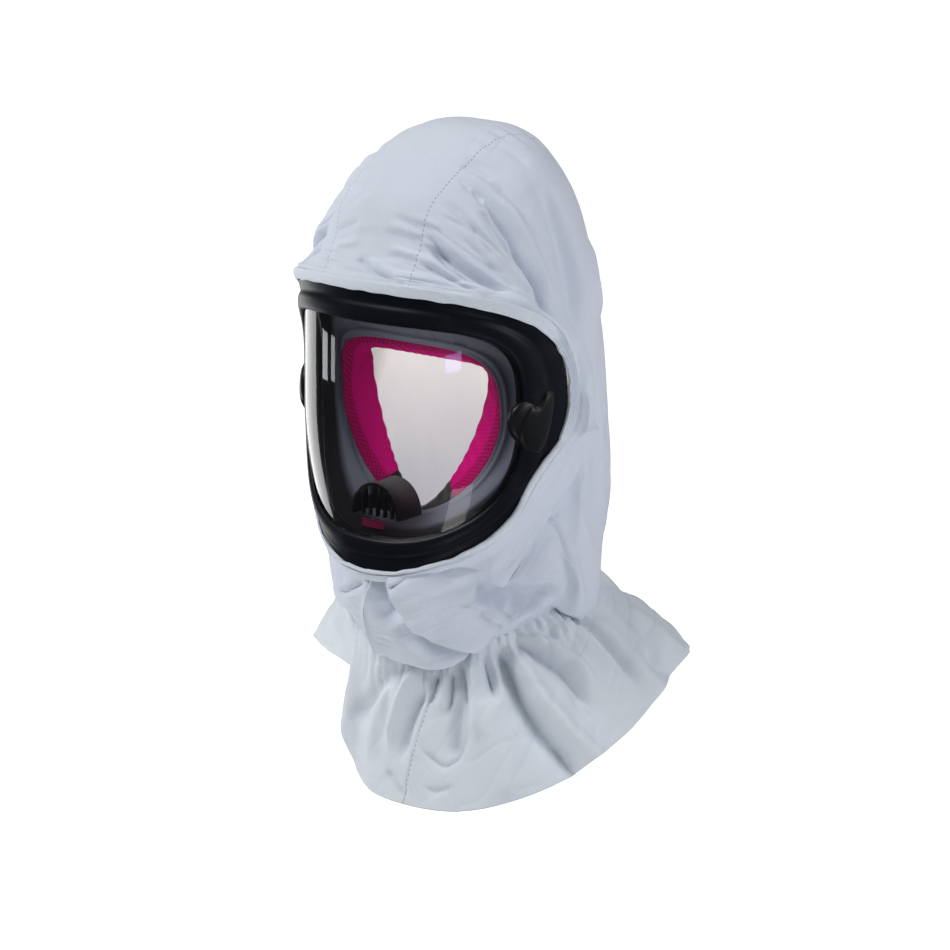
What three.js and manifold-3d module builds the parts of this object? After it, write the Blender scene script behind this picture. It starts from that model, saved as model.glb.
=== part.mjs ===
// A short protective hood of white nonwoven cloth with a gathered shoulder cape, drawn by an
// elastic hem round the rim of a clear full-face visor mask. Millimetres, +Z up, the face looks
// along -Y, +X is the wearer's left. The origin is the inside of the crown, on top of the head.
import * as THREE from "three";
import Module from "manifold-3d";

const wasm = await Module();
wasm.setup();

// Clearances and walls
const GAP = 0.4;
const CLOTH = 1.2;
const CROWN_STRIP_HALF = 36;
const HOOD_FROM = 0.012;
const HOOD_TO = 0.995;

// Lens surface: a rounded-square plan that narrows towards the chin
const LENS_HALF_WIDTH = 99.5;
const LENS_FRONT = 97.5;
const LENS_BULGE = 2.5;
const LENS_CHIN_BACK = 6.5;
const LENS_SQUARENESS = 2.25;
const LENS_TOP_Z = -87.5;
const LENS_BOTTOM_Z = -288.5;
const LENS_MID_Z = -177.5;
const LENS_TAPER_REACH = 137;
const LENS_THICKNESS = 2;

// Loops on the lens surface, each a rounded oval: half-angle in plan, reach above and below the
// middle height, and how square its upper and lower halves are
const FRAME_INNER = { halfAngle: 61, top: 61, bottom: 83, upper: 3.7, lower: 2.6 };
const FRAME_OUTER = { halfAngle: 84, top: 90, bottom: 110, upper: 2.7, lower: 2.0 };
const HEM_INNER = { halfAngle: 81, top: 82, bottom: 104, upper: 2.7, lower: 2.0, pull: 0.115 };
const HEM_OUTER = { halfAngle: 86.5, top: 90.5, bottom: 112.5, upper: 2.7, lower: 2.0, pull: 0.115 };
// Where the elastic pulls the hem in across the rim, below the ears
const PULL_AT = 114;
const PULL_WIDTH = 17;

// Rim section: share of the way from the inner to the outer loop, and height above the lens
const FRAME_PROFILE = [
  { share: 0.1, lift: 0.4 },
  { share: 0.0, lift: 0.4 },
  { share: 0.0, lift: 1.6 },
  { share: 0.05, lift: 3.2 },
  { share: 0.16, lift: 4.2 },
  { share: 0.34, lift: 4.1 },
  { share: 0.5, lift: 2.9 },
  { share: 0.58, lift: 3.3 },
  { share: 0.72, lift: 3.5 },
  { share: 0.87, lift: 2.4 },
  { share: 1.0, lift: -2.5 },
  { share: 0.96, lift: -7.0 },
  { share: 0.02, lift: -7.0 },
  { share: 0.02, lift: -2.4 },
  { share: 0.1, lift: -2.4 },
];

// Hem casing section, between its own two loops
const HEM_PROFILE = [
  { share: 0.0, lift: 5.6 },
  { share: 0.14, lift: 6.8 },
  { share: 0.5, lift: 7.2 },
  { share: 0.86, lift: 6.8 },
  { share: 0.96, lift: 5.8 },
  { share: 0.6, lift: 4.7 },
  { share: 0.12, lift: 4.7 },
];

// Hoops of the hood from just behind the hem to the neck: where each crosses the crown or back,
// the ear and the throat (y, z), its half-width and how square it is over the top
const HOOPS = [
  {
    backY: -92, backZ: -66.5, sideY: 4, sideZ: -178.5, throatY: -101, throatZ: -299.5,
    half: 105.5, square: 2.7,
  },
  {
    backY: -75, backZ: -31.5, sideY: 12, sideZ: -182.5, throatY: -102, throatZ: -307.5,
    half: 102, square: 2.55,
  },
  {
    backY: 1, backZ: -0.5, sideY: 17, sideZ: -189.5, throatY: -101, throatZ: -315.5,
    half: 95.5, square: 2.87,
  },
  {
    backY: 61.5, backZ: -22, sideY: 16.5, sideZ: -208.5, throatY: -99, throatZ: -322.5,
    half: 86.5, square: 2.27,
  },
  {
    backY: 88.5, backZ: -124.5, sideY: 19, sideZ: -242.5, throatY: -96, throatZ: -329.5,
    half: 88, square: 2.17,
  },
  {
    backY: 103, backZ: -230.5, sideY: 15.5, sideZ: -292.5, throatY: -88, throatZ: -337.5,
    half: 87, square: 2.12,
  },
  {
    backY: 85, backZ: -310.5, sideY: 4, sideZ: -314.5, throatY: -76, throatZ: -342.5,
    half: 78, square: 2,
  },
];

// How far the neck seam rides up on the wearer's right: full between the throat and the ear, easing in
// over so many degrees from the throat and away from a place beside the nape
const NECK_LIFT = { height: 18, throatOver: 18, napeFrom: 60, napeOver: 95, hoodFrom: 0.15 };

// Cape: the hem's reach and height at bearings from the front, positive towards the wearer's left
const CAPE_HEM = [
  { bearing: -180, reach: 146, z: -385.5 },
  { bearing: -150, reach: 150, z: -387.5 },
  { bearing: -115, reach: 146, z: -382.5 },
  { bearing: -90, reach: 136, z: -369 },
  { bearing: -70, reach: 94, z: -366.5 },
  { bearing: -50, reach: 72, z: -368.5 },
  { bearing: -36, reach: 72, z: -378.5 },
  { bearing: -25, reach: 90, z: -398.5 },
  { bearing: -14, reach: 89, z: -420.5 },
  { bearing: 0, reach: 100, z: -429.5 },
  { bearing: 17, reach: 113, z: -430.5 },
  { bearing: 38, reach: 122, z: -431 },
  { bearing: 60, reach: 135, z: -417 },
  { bearing: 90, reach: 141, z: -388 },
  { bearing: 112, reach: 150, z: -359.5 },
  { bearing: 128, reach: 156, z: -354.5 },
  { bearing: 152, reach: 149, z: -375.5 },
  { bearing: 180, reach: 146, z: -385.5 },
];
// Bearing of the seam down the front, where the two halves meet, at the neck and at the hem
const CAPE_SEAM = { neck: 30.5, hem: 18.5 };
const CAPE_SEAM_GAP = 0.003;
const CAPE_BULGE = 6;
const CAPE_DROP_FRONT = 3.0;
const CAPE_DROP_BACK = 1.5;

// Folds of the hood, the same on both sides: a path from, via and to (angle round the hoop from the
// crown, share of the way from hem to neck), its half-width and its height, a crease when negative
const HOOD_FOLDS = [
  { fromAngle: 21, from: 0.18, viaAngle: 34, via: 0.09, toAngle: 50, to: 0.07, width: 7, lift: -3.5 },
  { fromAngle: 26, from: 0.28, viaAngle: 39, via: 0.19, toAngle: 53, to: 0.09, width: 8, lift: 3.5 },
  { fromAngle: 31, from: 0.34, viaAngle: 45, via: 0.27, toAngle: 57, to: 0.1, width: 9, lift: -6 },
  { fromAngle: 38, from: 0.44, viaAngle: 50, via: 0.36, toAngle: 64, to: 0.13, width: 11, lift: 3 },
  { fromAngle: 62, from: 0.25, viaAngle: 76, via: 0.5, toAngle: 88, to: 0.78, width: 12, lift: -4 },
  { fromAngle: 80, from: 0.3, viaAngle: 92, via: 0.55, toAngle: 104, to: 0.85, width: 12, lift: 3.5 },
  { fromAngle: 170, from: 0.55, viaAngle: 150, via: 0.78, toAngle: 118, to: 0.86, width: 11, lift: 6 },
  { fromAngle: 150, from: 0.25, viaAngle: 128, via: 0.5, toAngle: 104, to: 0.8, width: 8, lift: -4 },
  { fromAngle: 10, from: 0.22, viaAngle: 7, via: 0.12, toAngle: 9, to: 0.04, width: 7, lift: -2.2 },
  { fromAngle: 26, from: 0.66, viaAngle: 24, via: 0.82, toAngle: 18, to: 0.98, width: 12, lift: -4 },
  { fromAngle: 58, from: 0.72, viaAngle: 56, via: 0.86, toAngle: 54, to: 0.98, width: 10, lift: -4 },
  { fromAngle: 0, from: 0.7, viaAngle: 2, via: 0.85, toAngle: 4, to: 0.98, width: 10, lift: 3 },
];

// Folds of the cape, running down from the neck: bearing at the neck and at the hem, half-width in
// degrees and height at the hem, a furrow when negative
const CAPE_FOLDS = [
  { neck: -158, hem: -160, width: 9, lift: -7 },
  { neck: -138, hem: -141, width: 9, lift: 7 },
  { neck: -118, hem: -122, width: 9, lift: -8 },
  { neck: -98, hem: -104, width: 9, lift: 7 },
  { neck: -80, hem: -84, width: 8, lift: -6 },
  { neck: -62, hem: -66, width: 9, lift: 5 },
  { neck: -30, hem: -34, width: 8, lift: -4 },
  { neck: -10, hem: -14, width: 8, lift: 5 },
  { neck: 10, hem: -4, width: 7, lift: -4 },
  { neck: 18, hem: 6, width: 6, lift: 6 },
  { neck: 38, hem: 34, width: 7, lift: -4 },
  { neck: 44, hem: 48, width: 8, lift: 5 },
  { neck: 57, hem: 69, width: 8, lift: -11 },
  { neck: 66, hem: 82, width: 9, lift: 8 },
  { neck: 79, hem: 92, width: 10, lift: -5 },
  { neck: 88, hem: 104, width: 10, lift: 5 },
  { neck: 138, hem: 146, width: 9, lift: -8 },
  { neck: 156, hem: 162, width: 9, lift: 8 },
];

// Loops round the face, upright ovals: half-width, top, bottom and middle heights, squareness above
// and below, and how far back they lie at the top, the sides and the bottom
const SEAL_OUTER = {
  half: 66, top: -138.5, bottom: -251.5, mid: -182.5,
  upper: 4.2, lower: 1.7, topY: -52, sideY: -42, bottomY: -50,
};
const SEAL_INNER = {
  half: 51, top: -148.5, bottom: -251.5, mid: -180.5,
  upper: 4.2, lower: 1.35, topY: -38, sideY: -32, bottomY: -31,
};
const SHROUD_SHARE = 0.14;
const SHROUD_LIFT = -8.4;
const SHROUD_WALL = 1.6;
const SHROUD_SAG = 7;
const SEAL_WALL = 1.5;
const SEAL_BOW = 5;
const SEAL_END_GAP = 0.006;
const LIP_HALF_ANGLE = 30;

// Harness boss on each side of the rim
const BOSS_ANGLE = 66;
const BOSS_Z = -180.5;
const BOSS_FRONT = 19;
const BOSS_BACK = 16;
const BOSS_UP = 21;
const BOSS_DOWN = 24;
const BOSS_HEIGHT = 6.2;
const BOSS_EDGE = 3.4;
const BOSS_EDGE_TILT = 1.2;
const BOSS_CROWN = 3.2;
const BOSS_SQUARENESS = 2.3;
const BOSS_UNDER = 0.7;
const BOSS_RIM_RADIUS = 104;

// Exhalation valve housing: a vault open to the front, with upright ribs
const VALVE_HALF = 20;
const VALVE_RISE = 23;
const VALVE_FRONT_Y = -90;
const VALVE_LENGTH = 24;
const VALVE_FLOOR_Z = -248.5;
const VALVE_WALL = 2.2;
const VALVE_BACK_WALL = 5;
const VALVE_RIBS = [-12, -6, 0, 6, 12];
const VALVE_RIB = { width: 1.4, depth: 3, set: 2 };
const TAG = { width: 18, height: 5.2, depth: 0.9, ahead: 1.2, below: 4 };

// Small maths
const radians = THREE.MathUtils.degToRad;
const clamp = THREE.MathUtils.clamp;

function roundedRadius(angle, square) {
  const s = Math.abs(Math.sin(angle)) ** square;
  const c = Math.abs(Math.cos(angle)) ** square;
  return (s + c) ** (-1 / square);
}

function smooth(f) {
  const g = clamp(f, 0, 1);
  return g * g * (3 - 2 * g);
}

function spline(p0, p1, p2, p3, f) {
  const a = 2 * p1;
  const b = p2 - p0;
  const c = 2 * p0 - 5 * p1 + 4 * p2 - p3;
  const d = 3 * p1 - p0 - 3 * p2 + p3;
  return 0.5 * (a + b * f + c * f * f + d * f * f * f);
}

// Lens surface
function lensBase(psi, z) {
  const drop = Math.max(0, LENS_MID_Z - 5 - z) / LENS_TAPER_REACH;
  const half = LENS_HALF_WIDTH * Math.sqrt(1 - drop * drop);
  const swell = Math.sin(Math.PI * clamp((LENS_TOP_Z - z) / (LENS_TOP_Z - LENS_BOTTOM_Z), 0, 1));
  const front = LENS_FRONT + LENS_BULGE * swell - LENS_CHIN_BACK * drop * drop;
  const r = roundedRadius(psi, LENS_SQUARENESS);
  return new THREE.Vector3(half * r * Math.sin(psi), -front * r * Math.cos(psi), z);
}

function lensPoint(psi, z, lift) {
  const step = 1e-3;
  const p = lensBase(psi, z);
  const across = lensBase(psi + step, z).sub(lensBase(psi - step, z));
  const up = lensBase(psi, z + 1).sub(lensBase(psi, z - 1));
  const normal = across.cross(up).normalize();
  return p.addScaledVector(normal, lift);
}

function loopAt(loop, s) {
  const high = Math.cos(s) > 0;
  const turn = THREE.MathUtils.euclideanModulo(s + Math.PI, 2 * Math.PI) - Math.PI;
  const away = (THREE.MathUtils.radToDeg(Math.abs(turn)) - PULL_AT) / PULL_WIDTH;
  const pulled = 1 - (loop.pull ?? 0) * Math.exp(-away * away);
  const r = roundedRadius(s, high ? loop.upper : loop.lower) * pulled;
  const reach = high ? loop.top : loop.bottom;
  return { psi: radians(loop.halfAngle) * r * Math.sin(s), z: LENS_MID_Z + reach * r * Math.cos(s) };
}

function betweenLoops(inner, outer, s, share, lift) {
  const a = loopAt(inner, s);
  const b = loopAt(outer, s);
  return lensPoint(a.psi + (b.psi - a.psi) * share, a.z + (b.z - a.z) * share, lift);
}

// Hood surface
function hoopPoint(row, sigma) {
  const high = Math.cos(sigma) > 0;
  const r = roundedRadius(sigma, high ? row.square : 2);
  const c = r * Math.cos(sigma);
  const mix = (back, side, throat) =>
    side + (c * (back - throat)) / 2 + c * c * ((back + throat) / 2 - side);
  return new THREE.Vector3(
    row.half * r * Math.sin(sigma),
    mix(row.backY, row.sideY, row.throatY),
    mix(row.backZ, row.sideZ, row.throatZ),
  );
}

function neckLift(sigma) {
  const turn = THREE.MathUtils.radToDeg(Math.atan2(Math.sin(sigma), Math.cos(sigma)));
  const throat = smooth((180 + turn) / NECK_LIFT.throatOver);
  return NECK_LIFT.height * throat * smooth((-NECK_LIFT.napeFrom - turn) / NECK_LIFT.napeOver);
}

function rimPoint(sigma) {
  return betweenLoops(HEM_INNER, HEM_OUTER, sigma, 1.02, 6.3);
}

function hoodBase(sigma, t) {
  const k = clamp(t, 0, 1) * HOOPS.length;
  const i = Math.min(Math.floor(k), HOOPS.length - 1);
  const at = (j) => {
    if (j < 0) {
      return rimPoint(sigma).multiplyScalar(2).sub(hoopPoint(HOOPS[0], sigma));
    }
    if (j > HOOPS.length) {
      const last = HOOPS.length - 1;
      return hoopPoint(HOOPS[last], sigma).multiplyScalar(2).sub(hoopPoint(HOOPS[last - 1], sigma));
    }
    return j === 0 ? rimPoint(sigma) : hoopPoint(HOOPS[j - 1], sigma);
  };
  const [a, b, c, d] = [at(i - 1), at(i), at(i + 1), at(i + 2)];
  const f = k - i;
  const lift = neckLift(sigma) * smooth((t - NECK_LIFT.hoodFrom) / (1 - NECK_LIFT.hoodFrom));
  return new THREE.Vector3(
    spline(a.x, b.x, c.x, d.x, f),
    spline(a.y, b.y, c.y, d.y, f),
    spline(a.z, b.z, c.z, d.z, f) + lift,
  );
}

// Height of the folds at a point of the hood, from its distance to each fold's path
const foldPaths = HOOD_FOLDS.map((row) => {
  const path = [];
  for (let i = 0; i <= 10; i += 1) {
    const f = i / 10;
    const bend = (a, b, c) => a * (1 - f) * (1 - 2 * f) + 4 * b * f * (1 - f) + c * f * (2 * f - 1);
    const sigma = radians(bend(row.fromAngle, row.viaAngle, row.toAngle));
    path.push(hoodBase(sigma, bend(row.from, row.via, row.to)));
  }
  return { path, width: row.width, lift: row.lift };
});

function foldHeight(p) {
  const q = new THREE.Vector3(Math.abs(p.x), p.y, p.z);
  const nearest = new THREE.Vector3();
  let height = 0;
  for (const { path, width, lift } of foldPaths) {
    let best = Infinity;
    for (let i = 0; i + 1 < path.length; i += 1) {
      new THREE.Line3(path[i], path[i + 1]).closestPointToPoint(q, true, nearest);
      best = Math.min(best, nearest.distanceTo(q));
    }
    height += lift * Math.exp(-((best / width) ** 2));
  }
  return height;
}

function hoodPoint(sigma, t) {
  const p = hoodBase(sigma, t);
  const around = hoodBase(sigma + 0.01, t).sub(hoodBase(sigma - 0.01, t));
  const down = hoodBase(sigma, Math.min(t + 0.005, 1)).sub(hoodBase(sigma, Math.max(t - 0.005, 0)));
  const normal = around.cross(down).normalize();
  const fade = smooth(t / 0.07) * smooth((1 - t) / 0.07);
  return p.addScaledVector(normal, fade * foldHeight(p));
}

// The bearing at which a hoop is a given distance from the middle plane
function seamAngle(t, x) {
  let low = 0;
  let high = Math.PI / 2;
  for (let i = 0; i < 40; i += 1) {
    const mid = (low + high) / 2;
    if (hoodBase(mid, t).x < x) {
      low = mid;
    } else {
      high = mid;
    }
  }
  return (low + high) / 2;
}

// Cape surface
function capeHem(bearing) {
  const deg = THREE.MathUtils.radToDeg(bearing);
  const last = CAPE_HEM.length - 1;
  let i = 0;
  while (i < last - 1 && CAPE_HEM[i + 1].bearing < deg) {
    i += 1;
  }
  const row = (j) => CAPE_HEM[j < 0 ? -j : j > last ? 2 * last - j : j];
  const f = (deg - row(i).bearing) / (row(i + 1).bearing - row(i).bearing);
  const reach = spline(row(i - 1).reach, row(i).reach, row(i + 1).reach, row(i + 2).reach, f);
  const z = spline(row(i - 1).z, row(i).z, row(i + 1).z, row(i + 2).z, f);
  return { reach, z };
}

function capeBase(bearing, v) {
  const neck = hoopPoint(HOOPS[HOOPS.length - 1], Math.PI - bearing);
  neck.z += neckLift(Math.PI - bearing);
  const hem = capeHem(bearing);
  const end = new THREE.Vector3(hem.reach * Math.sin(bearing), -hem.reach * Math.cos(bearing), hem.z);
  const p = neck.lerp(end, v);
  const rear = (1 - Math.cos(bearing)) / 2;
  p.z += 8 * CAPE_BULGE * rear * v * (1 - v);
  p.z -= CAPE_DROP_FRONT + (CAPE_DROP_BACK - CAPE_DROP_FRONT) * rear;
  return p;
}

function capeSeam(v) {
  return radians(CAPE_SEAM.hem + (CAPE_SEAM.neck - CAPE_SEAM.hem) * (1 - v) ** 2);
}

function capePoint(bearing, v) {
  const deg = THREE.MathUtils.radToDeg(bearing);
  let height = 0;
  for (const row of CAPE_FOLDS) {
    const away = (deg - row.neck - (row.hem - row.neck) * v) / row.width;
    height += row.lift * v * Math.exp(-away * away);
  }
  const around = capeBase(bearing + 0.01, v).sub(capeBase(bearing - 0.01, v));
  const down = capeBase(bearing, v + 0.01).sub(capeBase(bearing, v - 0.01));
  const normal = down.cross(around).normalize();
  const fromSeam = Math.abs(deg - THREE.MathUtils.radToDeg(capeSeam(v)));
  const seam = smooth(fromSeam / 6) * smooth((180 - Math.abs(deg)) / 6);
  return capeBase(bearing, v).addScaledVector(normal, seam * height);
}

// Meshes
function meshFrom(points, faces) {
  const geometry = new THREE.BufferGeometry();
  const numbers = points.flatMap((p) => p.toArray());
  geometry.setAttribute("position", new THREE.Float32BufferAttribute(numbers, 3));
  geometry.setIndex(faces.flat());
  return geometry;
}

// A closed wall: the face of a grid of points, its copy set in by the thickness, and the edges
function wall(point, across, along, thickness, flip) {
  const outer = [];
  const inner = [];
  const step = 1e-3;
  for (let j = 0; j <= along; j += 1) {
    for (let i = 0; i <= across; i += 1) {
      const u = i / across;
      const v = j / along;
      const p = point(u, v);
      const du = point(Math.min(u + step, 1), v).sub(point(Math.max(u - step, 0), v));
      const dv = point(u, Math.min(v + step, 1)).sub(point(u, Math.max(v - step, 0)));
      const normal = du.cross(dv).normalize().multiplyScalar(flip ? -1 : 1);
      outer.push(p);
      inner.push(p.clone().addScaledVector(normal, -thickness));
    }
  }
  const row = across + 1;
  const count = row * (along + 1);
  const faces = [];
  const quad = (a, b, c, d) => {
    faces.push(flip ? [a, c, b] : [a, b, c]);
    faces.push(flip ? [a, d, c] : [a, c, d]);
  };
  for (let j = 0; j < along; j += 1) {
    for (let i = 0; i < across; i += 1) {
      const k = j * row + i;
      quad(k, k + 1, k + row + 1, k + row);
      quad(count + k, count + k + row, count + k + row + 1, count + k + 1);
    }
  }
  for (let i = 0; i < across; i += 1) {
    const k = along * row + i;
    quad(i + 1, i, count + i, count + i + 1);
    quad(k, k + 1, count + k + 1, count + k);
  }
  for (let j = 0; j < along; j += 1) {
    const k = j * row;
    const m = k + across;
    quad(k, k + row, count + k + row, count + k);
    quad(m + row, m, count + m, count + m + row);
  }
  return meshFrom([...outer, ...inner], faces);
}

// A closed ring: a closed section carried round a closed loop
function ring(point, around, section) {
  const points = [];
  const faces = [];
  for (let i = 0; i < around; i += 1) {
    for (let j = 0; j < section; j += 1) {
      points.push(point((2 * Math.PI * i) / around, j));
      const a = i * section + j;
      const b = i * section + ((j + 1) % section);
      const c = ((i + 1) % around) * section + ((j + 1) % section);
      const d = ((i + 1) % around) * section + j;
      faces.push([a, c, b], [a, d, c]);
    }
  }
  return meshFrom(points, faces);
}

// Faces of two stacked fans of rings, front and back, closed round the edge
function twoFacedFan(around, rings, layer) {
  const faces = [];
  const at = (side, k, i) => side * layer + 1 + (k - 1) * around + (i % around);
  for (let i = 0; i < around; i += 1) {
    faces.push([0, at(0, 1, i + 1), at(0, 1, i)]);
    faces.push([layer, at(1, 1, i), at(1, 1, i + 1)]);
    for (let k = 1; k < rings; k += 1) {
      faces.push([at(0, k, i), at(0, k + 1, i + 1), at(0, k + 1, i)]);
      faces.push([at(0, k, i), at(0, k, i + 1), at(0, k + 1, i + 1)]);
      faces.push([at(1, k, i), at(1, k + 1, i), at(1, k + 1, i + 1)]);
      faces.push([at(1, k, i), at(1, k + 1, i + 1), at(1, k, i + 1)]);
    }
    faces.push([at(0, rings, i), at(1, rings, i + 1), at(1, rings, i)]);
    faces.push([at(0, rings, i), at(0, rings, i + 1), at(1, rings, i + 1)]);
  }
  return faces;
}

// A closed lens: rings of points from the middle out to a loop, on both faces
function lensSolid(loop, around, steps, thickness) {
  const rings = steps.length;
  const points = [];
  const faces = [];
  const layer = 1 + around * rings;
  for (const lift of [0, -thickness]) {
    points.push(lensPoint(0, LENS_MID_Z, lift));
    for (let k = 1; k <= rings; k += 1) {
      for (let i = 0; i < around; i += 1) {
        const edge = loop((2 * Math.PI * i) / around);
        const g = steps[k - 1];
        points.push(lensPoint(edge.psi * g, LENS_MID_Z + (edge.z - LENS_MID_Z) * g, lift));
      }
    }
  }
  faces.push(...twoFacedFan(around, rings, layer));
  return meshFrom(points, faces);
}

// A closed mound on the lens surface: an oval outline round a bearing, its top and its underside
function mound(psi, z, outline, top, under, around, steps) {
  const rings = steps.length;
  const points = [];
  const faces = [];
  const layer = 1 + around * rings;
  for (const lift of [top, under]) {
    points.push(lensPoint(psi, z, lift(0, 0)));
    for (let k = 1; k <= rings; k += 1) {
      for (let i = 0; i < around; i += 1) {
        const angle = (2 * Math.PI * i) / around;
        const edge = outline(angle);
        const g = steps[k - 1];
        points.push(lensPoint(psi + edge.psi * g, z + edge.z * g, lift(g, angle)));
      }
    }
  }
  faces.push(...twoFacedFan(around, rings, layer));
  return meshFrom(points, faces);
}

// Booleans
function toSolid(geometry) {
  const position = geometry.attributes.position;
  const index = geometry.index ? Array.from(geometry.index.array) : [...Array(position.count).keys()];
  const seen = new Map();
  const vertices = [];
  const remap = [];
  for (let i = 0; i < position.count; i += 1) {
    const p = [position.getX(i), position.getY(i), position.getZ(i)];
    const key = p.map((value) => Math.round(value * 1e4)).join();
    if (!seen.has(key)) {
      seen.set(key, vertices.length / 3);
      vertices.push(...p);
    }
    remap.push(seen.get(key));
  }
  const mesh = new wasm.Mesh({
    numProp: 3,
    vertProperties: new Float32Array(vertices),
    triVerts: new Uint32Array(index.map((i) => remap[i])),
  });
  return new wasm.Manifold(mesh);
}

function fromSolid(solid) {
  const mesh = solid.getMesh();
  const geometry = new THREE.BufferGeometry();
  geometry.setAttribute("position", new THREE.Float32BufferAttribute(Array.from(mesh.vertProperties), 3));
  geometry.setIndex(Array.from(mesh.triVerts));
  return geometry;
}

const part = new THREE.Group();

function add(name, geometry, colour, roughness, metalness) {
  const material = new THREE.MeshStandardMaterial({ color: colour, roughness, metalness });
  const mesh = new THREE.Mesh(geometry, material);
  mesh.name = name;
  part.add(mesh);
}

// Hood cloth
const CLOTH_COLOUR = 0xdfe2ec;
const hoodCrown = wall(
  (u, v) => {
    const t = HOOD_FROM + v * (HOOD_TO - HOOD_FROM);
    return hoodPoint((2 * u - 1) * seamAngle(t, CROWN_STRIP_HALF - GAP / 2), t);
  },
  8,
  24,
  CLOTH,
  true,
);
add("hood_crown", hoodCrown, CLOTH_COLOUR, 0.85, 0);
for (const side of [1, -1]) {
  const panel = wall(
    (u, v) => {
      const t = HOOD_FROM + v * (HOOD_TO - HOOD_FROM);
      const from = seamAngle(t, CROWN_STRIP_HALF + GAP / 2);
      return hoodPoint(side * (from + u * (Math.PI - 0.004 - from)), t);
    },
    20,
    20,
    CLOTH,
    side > 0,
  );
  add(side > 0 ? "hood_side_left" : "hood_side_right", panel, CLOTH_COLOUR, 0.85, 0);
}

// Elastic hem
const hem = ring(
  (s, j) => betweenLoops(HEM_INNER, HEM_OUTER, s, HEM_PROFILE[j].share, HEM_PROFILE[j].lift),
  48,
  HEM_PROFILE.length,
);
add("face_hem", hem, 0xe6e8f0, 0.85, 0);

// Cape
for (const side of [1, -1]) {
  const half = wall(
    (u, v) => {
      const from = capeSeam(v) + side * CAPE_SEAM_GAP;
      const to = side * (Math.PI - CAPE_SEAM_GAP);
      return capePoint(from + (to - from) * u, v);
    },
    30,
    7,
    CLOTH,
    side < 0,
  );
  add(side > 0 ? "cape_left" : "cape_right", half, 0xe8eaf2, 0.85, 0);
}

// Mask rim and lens
const frame = ring(
  (s, j) => betweenLoops(FRAME_INNER, FRAME_OUTER, s, FRAME_PROFILE[j].share, FRAME_PROFILE[j].lift),
  48,
  FRAME_PROFILE.length,
);
add("mask_frame", frame, 0x17181c, 0.45, 0);
const lens = lensSolid(
  (s) => {
    const a = loopAt(FRAME_INNER, s);
    const b = loopAt(FRAME_OUTER, s);
    return { psi: a.psi + (b.psi - a.psi) * 0.07, z: a.z + (b.z - a.z) * 0.07 };
  },
  48,
  [0.36, 0.68, 0.92, 1],
  LENS_THICKNESS,
);
add("visor", lens, 0xdde6f0, 0.08, 0);

// Inner shroud, from behind the rim to the seal
function faceLoop(loop, s) {
  const r = roundedRadius(s, Math.cos(s) > 0 ? loop.upper : loop.lower);
  const c = r * Math.cos(s);
  const endY = c > 0 ? loop.topY : loop.bottomY;
  const reach = c > 0 ? loop.top - loop.mid : loop.mid - loop.bottom;
  return new THREE.Vector3(
    loop.half * r * Math.sin(s),
    loop.sideY + (endY - loop.sideY) * c * c,
    loop.mid + reach * c,
  );
}

function shroudFace(s, f) {
  const from = betweenLoops(FRAME_INNER, FRAME_OUTER, s, SHROUD_SHARE, SHROUD_LIFT);
  const to = faceLoop(SEAL_OUTER, s);
  const out = from.clone().sub(to).normalize();
  to.addScaledVector(out, GAP);
  const p = from.lerp(to, f);
  p.y += SHROUD_SAG * 4 * f * (1 - f);
  return p;
}
const SHROUD_STEPS = [0, 0.5, 1];
const shroud = ring(
  (s, j) => {
    const behind = j >= SHROUD_STEPS.length;
    const f = SHROUD_STEPS[behind ? 2 * SHROUD_STEPS.length - 1 - j : j];
    const p = shroudFace(s, f);
    const along = shroudFace(s, Math.min(f + 0.01, 1)).sub(shroudFace(s, Math.max(f - 0.01, 0)));
    const round = shroudFace(s + 0.01, f).sub(shroudFace(s - 0.01, f));
    const normal = along.cross(round).normalize();
    return behind ? p.addScaledVector(normal, SHROUD_WALL) : p;
  },
  48,
  2 * SHROUD_STEPS.length,
);
add("inner_shroud", shroud, 0x3a3d46, 0.6, 0);

// Face seal and its chin lip
function sealPoint(s, f) {
  const p = faceLoop(SEAL_OUTER, s).lerp(faceLoop(SEAL_INNER, s), f);
  p.y -= SEAL_BOW * f * (1 - f);
  return p;
}
const lipHalf = radians(LIP_HALF_ANGLE);
const seal = wall(
  (u, v) => sealPoint((2 * u - 1) * (Math.PI - lipHalf - SEAL_END_GAP), v),
  36,
  2,
  SEAL_WALL,
  false,
);
add("face_seal", seal, 0x8c1247, 0.8, 0);
const lip = wall(
  (u, v) => sealPoint(Math.PI + (2 * u - 1) * (lipHalf - SEAL_END_GAP), v),
  8,
  2,
  SEAL_WALL,
  false,
);
add("chin_lip", lip, 0x1b1c20, 0.5, 0);

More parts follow.
